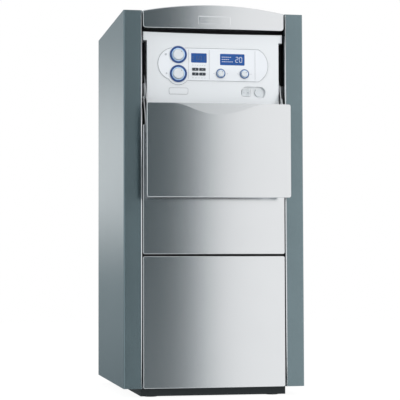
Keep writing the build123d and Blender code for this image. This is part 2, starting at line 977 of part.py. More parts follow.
with BuildPart() as reset_button:
    reset_front = recess_floor - reset_lift
    rod_y(reset_x, (reset_front, reset_front + reset_length), recess_level, reset_radius)
    fillet(reset_button.faces().sort_by(Axis.Y)[0].edges(), knob_edge)
    lip_front = recess_floor + recess_wall + fit_gap
    rod_y(reset_x, (lip_front, lip_front + reset_lip), recess_level, reset_radius + reset_lip)
save(reset_button, "reset_button")

# Control board on the standoffs of the back cover
with BuildPart() as control_board:
    board_back = board_depth + board_thickness
    board_half = board_width / 2
    board_span = (fascia_high - 2 * fascia_wall - board_height, fascia_high - 2 * fascia_wall)
    block((-board_half, board_half), (board_depth, board_back), board_span)
    chip_depths = (board_back, board_back + chip_thickness)
    for chip_share in chip_shares:
        chip_x = chip_share * board_half
        chip = (chip_x - chip_half, chip_x + chip_half)
        chip_low = board_span[0] + board_height / 4
        block(chip, chip_depths, (chip_low, chip_low + board_height / 4))
save(control_board, "control_board")

with BuildPart() as back_cover:
    cover_half = post_outer - fit_gap
    cover_high = cabinet_height - tray_rim
    cover_depths = (frame_back, frame_back + cover_thickness)
    block((-cover_half, cover_half), cover_depths, (middle_high, cover_high))
    for across in (-1, 1):
        for end, off in ((board_span[0], 1), (board_span[1], -1)):
            standoff_x = across * (board_half - 2 * standoff_radius)
            standoff_level = end + off * 2 * standoff_radius
            rod_y(standoff_x, (board_back, frame_back), standoff_level, standoff_radius)
save(back_cover, "back_cover")


# Flap: a bowed shell with a wavy finger grip along its top edge
def flap_grip():
    turn_x = grip_half_length / 2
    turn_z = flap_high - grip_drop / 2
    bend_radius = (turn_x**2 + (grip_drop / 2) ** 2) / grip_drop
    half_turn = math.asin(turn_x / bend_radius) / 2
    bend_x = bend_radius * math.sin(half_turn)
    bend_z = bend_radius * (1 - math.cos(half_turn))
    with BuildSketch() as outline:
        with BuildLine():
            for across in (-1, 1):
                end = on_front(across * grip_half_length, flap_high)
                middle = on_front(across * turn_x, turn_z)
                crest = on_front(across * (grip_half_length - bend_x), flap_high - bend_z)
                trough = on_front(across * bend_x, flap_high - grip_drop + bend_z)
                ThreePointArc(end, crest, middle)
                ThreePointArc(middle, trough, on_front(0, flap_high - grip_drop))
            Polyline(
                on_front(-grip_half_length, flap_high),
                on_front(-grip_half_length, flap_high + overrun),
                on_front(grip_half_length, flap_high + overrun),
                on_front(grip_half_length, flap_high),
            )
        make_face()
    return outline.sketch


flap_blank = bowed_block(
    flap_width, (flap_low, flap_high), flap_front, flap_back, panel_bow, flap_corner, flap_edge
)
flap_hollow = bowed_block(
    flap_width - 2 * flap_side_band,
    (flap_low + flap_low_band, flap_high - flap_top_band),
    flap_front + flap_skin,
    flap_back + overrun,
    panel_bow,
    flap_corner,
    0,
)
with BuildPart() as flap:
    add(flap_blank)
    add(flap_hollow, mode=Mode.SUBTRACT)
    with BuildSketch(facing(flap_front + grip_depth)):
        add(flap_grip())
    extrude(amount=grip_depth + panel_bow + overrun, mode=Mode.SUBTRACT)
save(flap, "flap")


def plane_of(side, near, thickness):
    """The lower X of a plate that is given for the right side."""
    return near if side > 0 else -near - thickness


def hinge_pin(side, point, plate_near, outward, arm_near):
    """A headed pin from a plate through the arm beside it."""
    plate_far = plate_near + arm_thickness
    if outward:
        head_near = arm_near + arm_thickness + hinge_head_gap
        shank, head = (plate_near, head_near), (head_near, head_near + hinge_head)
    else:
        head_far = arm_near - hinge_head_gap
        shank, head = (head_far, plate_far), (head_far - hinge_head, head_far)
    rod_x(sided(side, *shank), *point, hinge_pin_radius)
    rod_x(sided(side, *head), *point, hinge_head_radius)


def pin_hole(side, point, near):
    bore = sided(side, near - overrun, near + arm_thickness + overrun)
    rod_x(bore, *point, hinge_pin_radius, mode=Mode.SUBTRACT)


# Ears on the back of the flap, and their pins
ear_foot_mid = (upper_ear[1] + lower_ear[1]) / 2
ear_span = (ear_foot_mid - ear_foot_length / 2, ear_foot_mid + ear_foot_length / 2)
ears = []
for side in (-1, 1):
    with BuildPart() as ear:
        with BuildSketch(beside(plane_of(side, ear_plane, arm_thickness))):
            with Locations(on_side(upper_ear), on_side(lower_ear)):
                Circle(arm_radius)
            foot_middle = (flap_back + arm_thickness / 2, ear_foot_mid)
            with Locations(on_side(foot_middle)):
                Rectangle(arm_thickness, ear_foot_length)
            make_hull()
        extrude(amount=arm_thickness)
        foot_far = ear_plane + arm_thickness + ear_foot_width / 2
        foot_x_range = sided(side, foot_far - ear_foot_width, foot_far)
        block(foot_x_range, (flap_back, flap_back + arm_thickness), ear_span)
        for ear_point in (upper_ear, lower_ear):
            pin_hole(side, ear_point, ear_plane)
    ears.append(ear.part)
with BuildPart() as flap_ears:
    for ear_part in ears:
        add(ear_part)
save(flap_ears, "flap_ears")

with BuildPart() as ear_pins:
    for side in (-1, 1):
        hinge_pin(side, upper_ear, ear_plane, False, arm_plane)
        hinge_pin(side, lower_ear, ear_plane, True, lower_arm_plane)
save(ear_pins, "ear_pins")


# Arms, in two planes each side of the ears
def arm(side, near, pivot, end, tail):
    with BuildPart() as bar:
        with BuildSketch(beside(plane_of(side, near, arm_thickness))):
            tail_end = swung(pivot, arm_open_angle + 180, tail)
            with Locations(on_side(pivot), on_side(end), on_side(tail_end)):
                Circle(arm_radius)
            make_hull()
            with Locations(on_side(pivot), on_side(end)):
                Circle(hinge_pin_radius + running_gap, mode=Mode.SUBTRACT)
        extrude(amount=arm_thickness)
    return bar


for side, side_name in ((-1, "left"), (1, "right")):
    upper_arm = arm(side, arm_plane, upper_pivot, upper_ear, arm_tail)
    lower_arm = arm(side, lower_arm_plane, lower_pivot, lower_ear, fit_gap)
    save(upper_arm, f"{side_name}_upper_arm")
    save(lower_arm, f"{side_name}_lower_arm")

# Fixed brackets that carry the arms from the posts, and their pins
bracket_back = frame_back - bracket_gap
bracket_mid = (upper_pivot[1] + lower_pivot[1]) / 2
bracket_span = (bracket_mid - bracket_height / 2, bracket_mid + bracket_height / 2)
brackets = []
for side in (-1, 1):
    with BuildPart() as bracket:
        with BuildSketch(beside(plane_of(side, ear_plane, arm_thickness))):
            with Locations(on_side(upper_pivot), on_side(lower_pivot)):
                Circle(bracket_radius)
            with Locations(on_side((bracket_back - arm_thickness / 2, bracket_mid))):
                Rectangle(arm_thickness, bracket_height)
            make_hull()
        extrude(amount=arm_thickness)
        web_far = ear_plane + arm_thickness
        joggle = (bracket_back - arm_thickness, bracket_back)
        block(sided(side, web_far, post_inner), joggle, bracket_span)
        flange = sided(side, post_inner - arm_thickness, post_inner)
        flange_depths = (bracket_back - bracket_flange_depth, joggle[0])
        block(flange, flange_depths, bracket_span)
        for fixed_point in (upper_pivot, lower_pivot):
            pin_hole(side, fixed_point, ear_plane)
    brackets.append(bracket.part)
with BuildPart() as hinge_brackets:
    for bracket_part in brackets:
        add(bracket_part)
save(hinge_brackets, "hinge_brackets")

with BuildPart() as hinge_pins:
    for side in (-1, 1):
        hinge_pin(side, upper_pivot, ear_plane, False, arm_plane)
        hinge_pin(side, lower_pivot, ear_plane, True, lower_arm_plane)
save(hinge_pins, "hinge_pins")

# Smoke tubes stand in rings between the two tube sheets
tube_places = [(0, 0)]
for ring in (1, 2):
    for step in range(6 * ring):
        turn = math.radians(360 / (6 * ring) * step)
        ring_radius = ring * tube_pitch
        tube_places.append((ring_radius * math.cos(turn), ring_radius * math.sin(turn)))
tube_spots = [(x, y_at(vessel_depth) + y) for x, y in tube_places]

# Vessel: the water jacket round the combustion chamber and the tubes
with BuildPart() as vessel:
    rod_z(0, vessel_depth, (vessel_low, vessel_high), vessel_radius)
    jacket = (vessel_low + end_plate, vessel_high - end_plate)
    rod_z(0, vessel_depth, jacket, vessel_radius - vessel_wall, mode=Mode.SUBTRACT)
    mouth = (vessel_high - end_plate - overrun, vessel_high + overrun)
    rod_z(0, vessel_depth, mouth, chamber_radius, mode=Mode.SUBTRACT)
    with BuildSketch(level(vessel_low - overrun)):
        with Locations(*tube_spots):
            Circle(tube_radius)
    extrude(amount=end_plate + 2 * overrun, mode=Mode.SUBTRACT)
    for stub_height in (flow_height, high_return_height, low_return_height):
        stub_hole = (vessel_depth + vessel_radius / 2, vessel_rear + overrun)
        rod_y(0, stub_hole, stub_height, water_bore, mode=Mode.SUBTRACT)
    drain_hole = (vessel_depth - vessel_radius - overrun, vessel_depth - vessel_radius / 2)
    rod_y(0, drain_hole, drain_height, drain_bore, mode=Mode.SUBTRACT)
save(vessel, "vessel")

with BuildPart() as combustion_chamber:
    chamber_inner = chamber_radius - vessel_wall
    rod_z(0, vessel_depth, (chamber_low, vessel_high), chamber_radius)
    chamber_space = (chamber_low + end_plate, vessel_high + overrun)
    rod_z(0, vessel_depth, chamber_space, chamber_inner, mode=Mode.SUBTRACT)
    with BuildSketch(level(vessel_low)):
        with Locations(*tube_spots):
            Circle(tube_radius)
    extrude(amount=chamber_low + end_plate - vessel_low)
    with BuildSketch(level(vessel_low - overrun)):
        with Locations(*tube_spots):
            Circle(tube_radius - tube_wall)
    extrude(amount=chamber_low + end_plate - vessel_low + 2 * overrun, mode=Mode.SUBTRACT)
save(combustion_chamber, "combustion_chamber")

# Flue collector under the vessel, with its outlet towards the flue, its condensate spout
# and the four welded legs that carry the vessel
flue_offset = math.hypot(flue_x, flue_depth - vessel_depth)
flue_turn = math.atan2(flue_depth - vessel_depth, flue_x)
outlet_plane = Plane(
    origin=spot(0, vessel_depth, flue_spigot_height),
    x_dir=(0, 0, 1),
    z_dir=(math.cos(flue_turn), math.sin(flue_turn), 0),
)
with BuildPart() as flue_collector:
    rod_z(0, vessel_depth, (flue_box_low, vessel_low), vessel_radius)
    collector_space = (flue_box_low + flue_box_wall, vessel_low + overrun)
    collector_inner = vessel_radius - flue_box_wall
    rod_z(0, vessel_depth, collector_space, collector_inner, mode=Mode.SUBTRACT)
    with BuildSketch(outlet_plane):
        Circle(flue_radius - flue_wall)
    extrude(amount=vessel_radius + overrun, mode=Mode.SUBTRACT)
    spout = (flue_box_low - spout_radius, flue_box_low + flue_box_wall)
    rod_z(0, vessel_depth, spout, spout_radius)
    spout_hole = (spout[0] - overrun, spout[1] + overrun)
    rod_z(0, vessel_depth, spout_hole, spout_radius - flue_box_wall, mode=Mode.SUBTRACT)
    for turn_share in leg_turn_shares:
        turn = math.radians(360 * turn_share)
        leg_x = leg_ring_radius * math.cos(turn)
        leg_depth = vessel_depth + leg_ring_radius * math.sin(turn)
        rod_z(leg_x, leg_depth, (tray_wall, flue_box_low), leg_radius)
        rod_z(leg_x, leg_depth, (tray_wall, tray_wall + leg_foot_height), leg_foot_radius)
save(flue_collector, "flue_collector")

# Insulation round the jacket, holed for the stubs
with BuildPart() as vessel_insulation:
    wrap_inner = vessel_radius + insulation_gap
    wrap_outer = wrap_inner + insulation_thickness
    rod_z(0, vessel_depth, (vessel_low, vessel_high), wrap_outer)
    wrap_bore = (vessel_low - overrun, vessel_high + overrun)
    rod_z(0, vessel_depth, wrap_bore, wrap_inner, mode=Mode.SUBTRACT)
    for stub_height in (flow_height, high_return_height, low_return_height):
        wrap_hole = (vessel_depth, vessel_depth + wrap_outer + overrun)
        stub_clear = water_radius + pipe_hole_gap
        rod_y(0, wrap_hole, stub_height, stub_clear, mode=Mode.SUBTRACT)
    wrap_front = (vessel_depth - wrap_outer - overrun, vessel_depth)
    drain_clear = drain_radius + pipe_hole_gap
    rod_y(0, wrap_front, drain_height, drain_clear, mode=Mode.SUBTRACT)
save(vessel_insulation, "vessel_insulation")

# Burner door with its neck, and the slotted burner tube below it
door_high = vessel_high + door_thickness
neck_high = door_high + neck_height
with BuildPart() as burner_door:
    rod_z(0, vessel_depth, (vessel_high, door_high), door_radius)
    fillet(burner_door.faces().sort_by(Axis.Z)[-1].edges(), door_thickness / 3)
    rod_z(0, vessel_depth, (vessel_high, neck_high), neck_radius)
    neck_hole = (vessel_high - overrun, neck_high + overrun)
    rod_z(0, vessel_depth, neck_hole, neck_bore, mode=Mode.SUBTRACT)
    electrode_hole = (vessel_high - overrun, door_high + overrun)
    rod_z(electrode_ring, vessel_depth, electrode_hole, electrode_radius, mode=Mode.SUBTRACT)
save(burner_door, "burner_door")

with BuildPart() as burner_tube:
    burner_low = vessel_high - burner_length
    rod_z(0, vessel_depth, (burner_low, vessel_high), burner_radius)
    burner_space = (burner_low + burner_wall, vessel_high + overrun)
    rod_z(0, vessel_depth, burner_space, burner_radius - burner_wall, mode=Mode.SUBTRACT)
    row_pitch = burner_length / (burner_slot_rows + 1)
    for row in range(burner_slot_rows):
        slot_level = burner_low + (row + 1) * row_pitch
        with Locations(spot(0, vessel_depth, slot_level)):
            with PolarLocations(burner_radius, burner_slots):
                Box(4 * burner_wall, burner_slot_width, burner_slot_length, mode=Mode.SUBTRACT)
save(burner_tube, "burner_tube")

# Fan: scroll, impeller and motor
duct_front = fan_depth - fan_radius
with BuildPart() as fan_housing:
    rod_x((-fan_half_width, fan_half_width), fan_depth, fan_height, fan_radius)
    duct_depths = (duct_front, duct_front + fan_duct_width)
    block((-fan_half_width, fan_half_width), duct_depths, (neck_high, fan_height))
    flange_x = fan_half_width + fan_flange
    flange_depths = (duct_front - fan_flange, duct_front + fan_duct_width + fan_flange)
    flange_rise = (neck_high, neck_high + fan_flange_thickness)
    block((-flange_x, flange_x), flange_depths, flange_rise)
    inner_width = fan_half_width - fan_wall
    inner_x = (-inner_width, inner_width)
    rod_x(inner_x, fan_depth, fan_height, fan_radius - fan_wall, mode=Mode.SUBTRACT)
    duct_inner = (duct_front + fan_wall, duct_front + fan_duct_width - fan_wall)
    duct_space = (neck_high - overrun, fan_height)
    block(inner_x, duct_inner, duct_space, mode=Mode.SUBTRACT)
    inlet_x = (inner_width - overrun, fan_half_width + overrun)
    rod_x(inlet_x, fan_depth, fan_height, inlet_radius, mode=Mode.SUBTRACT)
    shaft_hole = (-fan_half_width - overrun, -inner_width + overrun)
    shaft_gap = motor_shaft_radius + fan_wall
    rod_x(shaft_hole, fan_depth, fan_height, shaft_gap, mode=Mode.SUBTRACT)
save(fan_housing, "fan_housing")

with BuildPart() as fan_impeller:
    wheel_left = -impeller_half_width
    wheel_right = impeller_half_width
    plate_x = (wheel_left, wheel_left + impeller_plate)
    rod_x(plate_x, fan_depth, fan_height, impeller_radius)
    rod_x((wheel_right - impeller_plate, wheel_right), fan_depth, fan_height, impeller_radius)
    eye_x = (wheel_right - 2 * impeller_plate, wheel_right + overrun)
    rod_x(eye_x, fan_depth, fan_height, impeller_eye_radius, mode=Mode.SUBTRACT)
    vane_length = impeller_radius - impeller_eye_radius
    vane_middle = (impeller_radius + impeller_eye_radius) / 2
    vane_plane = Plane(origin=spot(0, fan_depth, fan_height), x_dir=(0, 1, 0), z_dir=(1, 0, 0))
    with BuildSketch(vane_plane.offset(wheel_left + impeller_plate / 2)):
        with PolarLocations(vane_middle, impeller_vanes):
            Rectangle(vane_length - impeller_plate, impeller_plate)
    extrude(amount=2 * impeller_half_width - impeller_plate)
    rod_x((wheel_left, 0), fan_depth, fan_height, impeller_hub_radius)
    shaft_x = (-fan_half_width - motor_length + fan_wall * 2, 0)
    rod_x(shaft_x, fan_depth, fan_height, motor_shaft_radius)
save(fan_impeller, "fan_impeller")

with BuildPart() as fan_motor:
    motor_x = (-fan_half_width - motor_length, -fan_half_width)
    rod_x(motor_x, fan_depth, fan_height, motor_radius)
    fillet(fan_motor.faces().sort_by(Axis.X)[0].edges(), fan_wall * 2)
    motor_bore = (shaft_x[0] - fan_wall, -fan_half_width + overrun)
    motor_bore_radius = motor_shaft_radius + running_gap
    rod_x(motor_bore, fan_depth, fan_height, motor_bore_radius, mode=Mode.SUBTRACT)
save(fan_motor, "fan_motor")

# Gas valve with its mixer on the fan's inlet, and the gas pipe to the rear
with BuildPart() as gas_valve:
    mixer_x = (fan_half_width, fan_half_width + mixer_length)
    rod_x(mixer_x, fan_depth, fan_height, mixer_radius)
    valve_x = (mixer_x[1], mixer_x[1] + valve_width)
    valve_depths = (fan_depth - valve_depth / 2, fan_depth + valve_depth / 2)
    valve_rise = (fan_height - valve_height / 2, fan_height + valve_height / 2)
    block(valve_x, valve_depths, valve_rise)
    fillet(gas_valve.edges().filter_by(Axis.Y), fan_wall)
    for coil_depth in (fan_depth - coil_offset, fan_depth + coil_offset):
        coil_rise = (valve_rise[1] - overrun, valve_rise[1] + coil_height)
        rod_z(gas_x, coil_depth, coil_rise, coil_radius)
    mixer_bore = (mixer_x[0] - overrun, mixer_x[1] - fan_wall)
    rod_x(mixer_bore, fan_depth, fan_height, inlet_radius, mode=Mode.SUBTRACT)
    with BuildSketch(level(fan_height)):
        with Locations((sum(mixer_x) / 2, y_at(fan_depth - mixer_radius))):
            Rectangle(mixer_length / 2, mixer_radius)
    extrude(amount=mixer_radius / 2, both=True, mode=Mode.SUBTRACT)
save(gas_valve, "gas_valve")

with BuildPart() as gas_pipe:
    gas_span = (valve_depths[1], rear_end)
    rod_y(gas_x, gas_span, fan_height, gas_radius - thread_step)
    rod_y(gas_x, (rear_end - thread_length, rear_end), fan_height, gas_radius)
    rod_y(gas_x, (gas_span[0] - overrun, rear_end + overrun), fan_height, gas_bore, Mode.SUBTRACT)
save(gas_pipe, "gas_pipe")

# Flue pipe from the collector up to the socket, and the air collar round it
flue_start = Vector(*spot(0, vessel_depth, flue_spigot_height)) + outlet_plane.z_dir * vessel_radius
flue_corner = Vector(*spot(flue_x, flue_depth, flue_spigot_height))
flue_bend_radius = flue_bend_share * (flue_offset - vessel_radius)
flue_top = cabinet_height + flue_socket_show
socket_low = flue_top - flue_socket_length
flue_end = Vector(*spot(flue_x, flue_depth, socket_low))
flue_plane = Plane(origin=flue_start, x_dir=(0, 0, 1), z_dir=outlet_plane.z_dir)


def flue_run(radius):
    with BuildPart() as run:
        with BuildLine():
            FilletPolyline(flue_start, flue_corner, flue_end, radius=flue_bend_radius)
        with BuildSketch(flue_plane):
            Circle(radius)
        sweep()
    return run.part


flue_outer = flue_run(flue_radius)
flue_inner = flue_run(flue_radius - flue_wall)
with BuildPart() as flue_pipe:
    add(flue_outer)
    socket_rise = (socket_low - flue_socket_wall, flue_top)
    rod_z(flue_x, flue_depth, socket_rise, flue_radius + flue_socket_wall)
    add(flue_inner, mode=Mode.SUBTRACT)
    socket_bore = (socket_low, flue_top + overrun)
    rod_z(flue_x, flue_depth, socket_bore, flue_radius, mode=Mode.SUBTRACT)
save(flue_pipe, "flue_pipe")

with BuildPart() as air_collar:
    collar_foot = (cabinet_height, cabinet_height + air_wall)
    rod_z(flue_x, flue_depth, collar_foot, air_flange_radius)
    collar_rise = (cabinet_height, cabinet_height + air_collar_height)
    rod_z(flue_x, flue_depth, collar_rise, air_radius + air_wall)
    collar_bore = (cabinet_height - overrun, cabinet_height + air_collar_height + overrun)
    rod_z(flue_x, flue_depth, collar_bore, air_radius, mode=Mode.SUBTRACT)
save(air_collar, "air_collar")

# Water stubs, from the vessel through the rear panel
with BuildPart() as water_stubs:
    for stub_height in (flow_height, high_return_height, low_return_height):
        rod_y(0, (vessel_rear, rear_end), stub_height, water_radius - thread_step)
        rod_y(0, (rear_end - thread_length, rear_end), stub_height, water_radius)
        stub_bore = (vessel_rear - overrun, rear_end + overrun)
        rod_y(0, stub_bore, stub_height, water_bore, mode=Mode.SUBTRACT)
save(water_stubs, "water_stubs")

# Condensate drain: the trap on the collector's spout, and its pipe to the rear
with BuildPart() as trap:
    trap_top = spout[0]
    rod_z(0, vessel_depth, (tray_wall + trap_floor_gap, trap_top), trap_radius)
    rod_z(0, vessel_depth, (tray_wall, trap_top), trap_radius / 2)
    fillet(trap.faces().sort_by(Axis.Z)[-1].edges(), trap_gap / 2)
    trap_hole = (trap_top - trap_gap, trap_top + overrun)
    rod_z(0, vessel_depth, trap_hole, spout_radius - flue_box_wall, mode=Mode.SUBTRACT)
with BuildPart() as drain_pipe:
    pipe_front = vessel_depth + trap_radius - trap_gap
    rod_y(0, (pipe_front, rear_end), condensate_height, condensate_radius - thread_step)
    nozzle_span = (rear_end - thread_length, rear_end)
    rod_y(0, nozzle_span, condensate_height, condensate_radius)
    rod_z(0, vessel_depth, (0, vessel_low), trap_radius, mode=Mode.SUBTRACT)
    nozzle_bore = (pipe_front, rear_end + overrun)
    rod_y(0, nozzle_bore, condensate_height, condensate_bore, mode=Mode.SUBTRACT)
with BuildPart() as condensate_drain:
    add(trap.part)
    add(drain_pipe.part)
save(condensate_drain, "condensate_drain")

# Drain cock at the foot of the vessel, with a lever on its spindle
with BuildPart() as drain_cock:
    cock_middle = drain_block_depth + drain_block / 2
    cock_depths = (drain_block_depth, drain_block_depth + drain_block)
    vessel_front = vessel_depth - vessel_radius
    cock_x = (-drain_block / 2, drain_block / 2)
    cock_rise = (drain_height - drain_block / 2, drain_height + drain_block / 2)
    block(cock_x, cock_depths, cock_rise)
    fillet(drain_cock.edges().filter_by(Axis.Z), drain_block / 6)
    rod_y(0, (cock_depths[0], vessel_front), drain_height, drain_radius)
    rod_z(0, cock_middle, (cock_rise[0] - drain_block / 2, cock_rise[0]), drain_radius)
    rod_y(0, (cock_middle, vessel_front + overrun), drain_height, drain_bore, Mode.SUBTRACT)
    nozzle_hole = (cock_rise[0] - drain_block, drain_height)
    rod_z(0, cock_middle, nozzle_hole, drain_bore, mode=Mode.SUBTRACT)
    spindle_low = cock_rise[1] - drain_spindle_length
    spindle_hole = drain_spindle_radius + running_gap
    rod_z(0, cock_middle, (spindle_low, cock_rise[1] + overrun), spindle_hole, Mode.SUBTRACT)
save(drain_cock, "drain_cock")

with BuildPart() as drain_lever:
    lever_low = cock_rise[1] + fit_gap
    with BuildSketch(level(lever_low)):
        with Locations((lever_length / 2 - lever_width / 2, y_at(cock_middle))):
            SlotOverall(lever_length, lever_width)
    extrude(amount=lever_thickness)
    fillet(drain_lever.faces().sort_by(Axis.Z)[-1].edges(), lever_thickness / 4)
    spindle_end = spindle_low + fit_gap
    rod_z(0, cock_middle, (spindle_end, lever_low), drain_spindle_radius)
save(drain_lever, "drain_lever")

# Ignition: the electrode through the burner door, and its spark box on the door
with BuildPart() as ignition_set:
    electrode_span = (door_high - electrode_length, door_high + electrode_radius * 3)
    rod_z(electrode_ring, vessel_depth, electrode_span, electrode_radius)
    box_x = (-electrode_ring - spark_width / 2, -electrode_ring + spark_width / 2)
    box_depths = (vessel_depth - spark_depth / 2, vessel_depth + spark_depth / 2)
    block(box_x, box_depths, (door_high, door_high + spark_height))
save(ignition_set, "ignition_set")

# Cable glands through the rear panel
with BuildPart() as cable_glands:
    for hole_x in gland_x:
        body_span = (inner_back - gland_inside, cabinet_depth - sheet + gland_outside)
        rod_y(hole_x, body_span, gland_height, gland_radius - sheet)
        outer_span = (inner_back + sheet, inner_back + sheet + gland_outside)
        rod_y(hole_x, outer_span, gland_height, gland_radius)
        gland_hole = (inner_back - gland_inside - overrun, cabinet_depth + gland_outside + overrun)
        rod_y(hole_x, gland_hole, gland_height, gland_bore, mode=Mode.SUBTRACT)
save(cable_glands, "cable_glands")

# Screws: the rear panel's along both returns, and the back cover's into the posts
with BuildPart() as casing_screws:
    rear_x = cabinet_width / 2 - rear_return / 2
    for side in (-1, 1):
        for rise_share in rear_screw_shares:
            screw_height = rise_share * cabinet_height
            head_depths = (cabinet_depth, cabinet_depth + screw_head)
            rod_y(side * rear_x, head_depths, screw_height, screw_head_radius)
        for rise_share in cover_screw_shares:
            screw_height = middle_high + rise_share * (cover_high - middle_high)
            screw_x = side * (post_inner + post_outer) / 2
            head_depths = (cover_depths[1], cover_depths[1] + screw_head)
            rod_y(screw_x, head_depths, screw_height, screw_head_radius)
save(casing_screws, "casing_screws")

print("arm sweep", round(arm_sweep, 4), "arm length", round(arm_length, 4))
for pivot_name, pivot in (
    ("upper pivot", upper_pivot),
    ("lower pivot", lower_pivot),
    ("upper ear", upper_ear),
    ("lower ear", lower_ear),
):
    print(pivot_name, [round(value, 4) for value in on_side(pivot)])
print("front plane", front_y, "side foot", side_foot_z, "flap", flap_low, flap_high)
print("key travel", key_travel, "reset travel", reset_travel)
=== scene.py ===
import json
import math

import bmesh
import bpy
from mathutils import Euler, Matrix, Vector
from mathutils.bvhtree import BVHTree


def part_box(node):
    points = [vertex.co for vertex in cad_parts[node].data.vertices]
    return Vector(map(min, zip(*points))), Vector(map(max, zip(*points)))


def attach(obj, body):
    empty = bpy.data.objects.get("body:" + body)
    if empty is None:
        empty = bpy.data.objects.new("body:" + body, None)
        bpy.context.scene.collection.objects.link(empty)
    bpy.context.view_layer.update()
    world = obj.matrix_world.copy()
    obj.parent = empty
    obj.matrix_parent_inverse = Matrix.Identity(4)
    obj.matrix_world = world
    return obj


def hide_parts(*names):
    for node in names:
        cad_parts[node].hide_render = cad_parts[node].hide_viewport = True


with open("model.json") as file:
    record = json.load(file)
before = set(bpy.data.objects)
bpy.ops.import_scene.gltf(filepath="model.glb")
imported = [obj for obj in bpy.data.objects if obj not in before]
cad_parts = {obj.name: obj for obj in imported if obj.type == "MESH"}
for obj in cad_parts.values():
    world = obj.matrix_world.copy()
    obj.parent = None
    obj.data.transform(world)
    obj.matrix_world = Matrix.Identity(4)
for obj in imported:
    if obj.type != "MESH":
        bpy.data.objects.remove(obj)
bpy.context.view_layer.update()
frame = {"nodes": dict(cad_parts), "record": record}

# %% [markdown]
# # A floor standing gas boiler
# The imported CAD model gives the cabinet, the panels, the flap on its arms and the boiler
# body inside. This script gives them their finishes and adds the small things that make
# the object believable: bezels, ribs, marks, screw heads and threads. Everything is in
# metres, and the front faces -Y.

nodes = frame["nodes"]
slots = {row["node"]: row["material_slot"] for row in frame["record"]["subparts"]}


# %% [markdown]
# ## Small helpers for node trees
# A shader and a Geometry Nodes tree are both built from nodes and links. Writing them out
# in full hides the idea behind them, so a few helpers add a node with its values, build a
# group with named sockets and do sums. A value that is itself a node or an output socket
# becomes a link.

# %% Node helpers
def add_node(tree, kind, settings=None, **inputs):
    """Adds a node. A keyword is an input's name with spaces as underscores, or its number."""
    node = tree.nodes.new(kind)
    for key, value in (settings or {}).items():
        setattr(node, key, value)
    for key, value in inputs.items():
        place = int(key[1:]) if key[0] == "n" and key[1:].isdigit() else key.replace("_", " ")
        feed(tree, node.inputs[place], value)
    return node


def feed(tree, socket, value):
    """Links an output, or a node's first output, to a socket, or sets the socket's value."""
    if isinstance(value, bpy.types.Node):
        value = value.outputs[0]
    if isinstance(value, bpy.types.NodeSocket):
        tree.links.new(value, socket)
    else:
        socket.default_value = value


def new_group(name, kind, inputs, outputs):
    """A node group, its inputs and its outputs. An input is (name, socket type, default)."""
    tree = bpy.data.node_groups.new(name, kind)
    for label, socket_type, default in inputs:
        socket = tree.interface.new_socket(label, in_out="INPUT", socket_type=socket_type)
        if default is not None:
            socket.default_value = default
    for label, socket_type in outputs:
        tree.interface.new_socket(label, in_out="OUTPUT", socket_type=socket_type)
    given, made = tree.nodes.new("NodeGroupInput"), tree.nodes.new("NodeGroupOutput")
    return tree, given.outputs, made.inputs


def use_group(tree, group, **inputs):
    node = tree.nodes.new("ShaderNodeGroup")
    node.node_tree = group
    for key, value in inputs.items():
        feed(tree, node.inputs[key.replace("_", " ")], value)
    return node


def math_node(tree, operation, first, second=0.0, clamp=False):
    settings = {"operation": operation, "use_clamp": clamp}
    return add_node(tree, "ShaderNodeMath", settings, n0=first, n1=second).outputs[0]


def times(tree, first, second, clamp=False):
    return math_node(tree, "MULTIPLY", first, second, clamp)


def mixed(tree, factor, first, second):
    """A mix of two colours."""
    node = add_node(tree, "ShaderNodeMix", {"data_type": "RGBA"}, n0=factor, n6=first, n7=second)
    return node.outputs[2]


# %% [markdown]
# ## Effects that several finishes share
# Real sheet metal and mouldings are never one flat value. Powder coat has a faint orange
# peel, a moulding has a fine pebble grain, rolled metal has lines along one direction, the
# edges of a panel are rubbed brighter, and dust settles on what faces up. The mask of the
# rubbed edges also serves as a painted highlight where a folded edge catches the light. Each
# effect is a node group with named inputs, so every material can use it at its own scale.

# %% Grain
FLOAT, SHADER_TREE = "NodeSocketFloat", "ShaderNodeTree"
BROAD_SCALE = 7.0
grain, grain_in, grain_out = new_group(
    "Surface grain",
    SHADER_TREE,
    [
        ("Scale", FLOAT, 600.0),
        ("Pebble", FLOAT, 0.0),
        ("Along X", FLOAT, 1.0),
        ("Along Z", FLOAT, 1.0),
    ],
    [("Height", FLOAT), ("Tone", FLOAT), ("Cell", FLOAT)],
)
stretch = add_node(
    grain, "ShaderNodeCombineXYZ", n0=grain_in["Along X"], n1=1.0, n2=grain_in["Along Z"]
)
place = add_node(grain, "ShaderNodeTexCoord")
stretched = add_node(grain, "ShaderNodeMapping", Vector=place.outputs["Object"], Scale=stretch)
fine = add_node(grain, "ShaderNodeTexNoise", Vector=stretched, Scale=grain_in["Scale"], Detail=2.0)
cells = add_node(grain, "ShaderNodeTexVoronoi", Vector=stretched, Scale=grain_in["Scale"])
broad = add_node(
    grain, "ShaderNodeTexNoise", Vector=place.outputs["Object"], Scale=BROAD_SCALE, Detail=3.0
)
pebble = times(grain, cells.outputs["Distance"], grain_in["Pebble"])
height = math_node(grain, "ADD", fine.outputs["Fac"], pebble)
feed(grain, grain_out["Height"], height)
feed(grain, grain_out["Tone"], broad.outputs["Fac"])
feed(grain, grain_out["Cell"], cells.outputs["Color"])
print(grain.name, "nodes", len(grain.nodes))
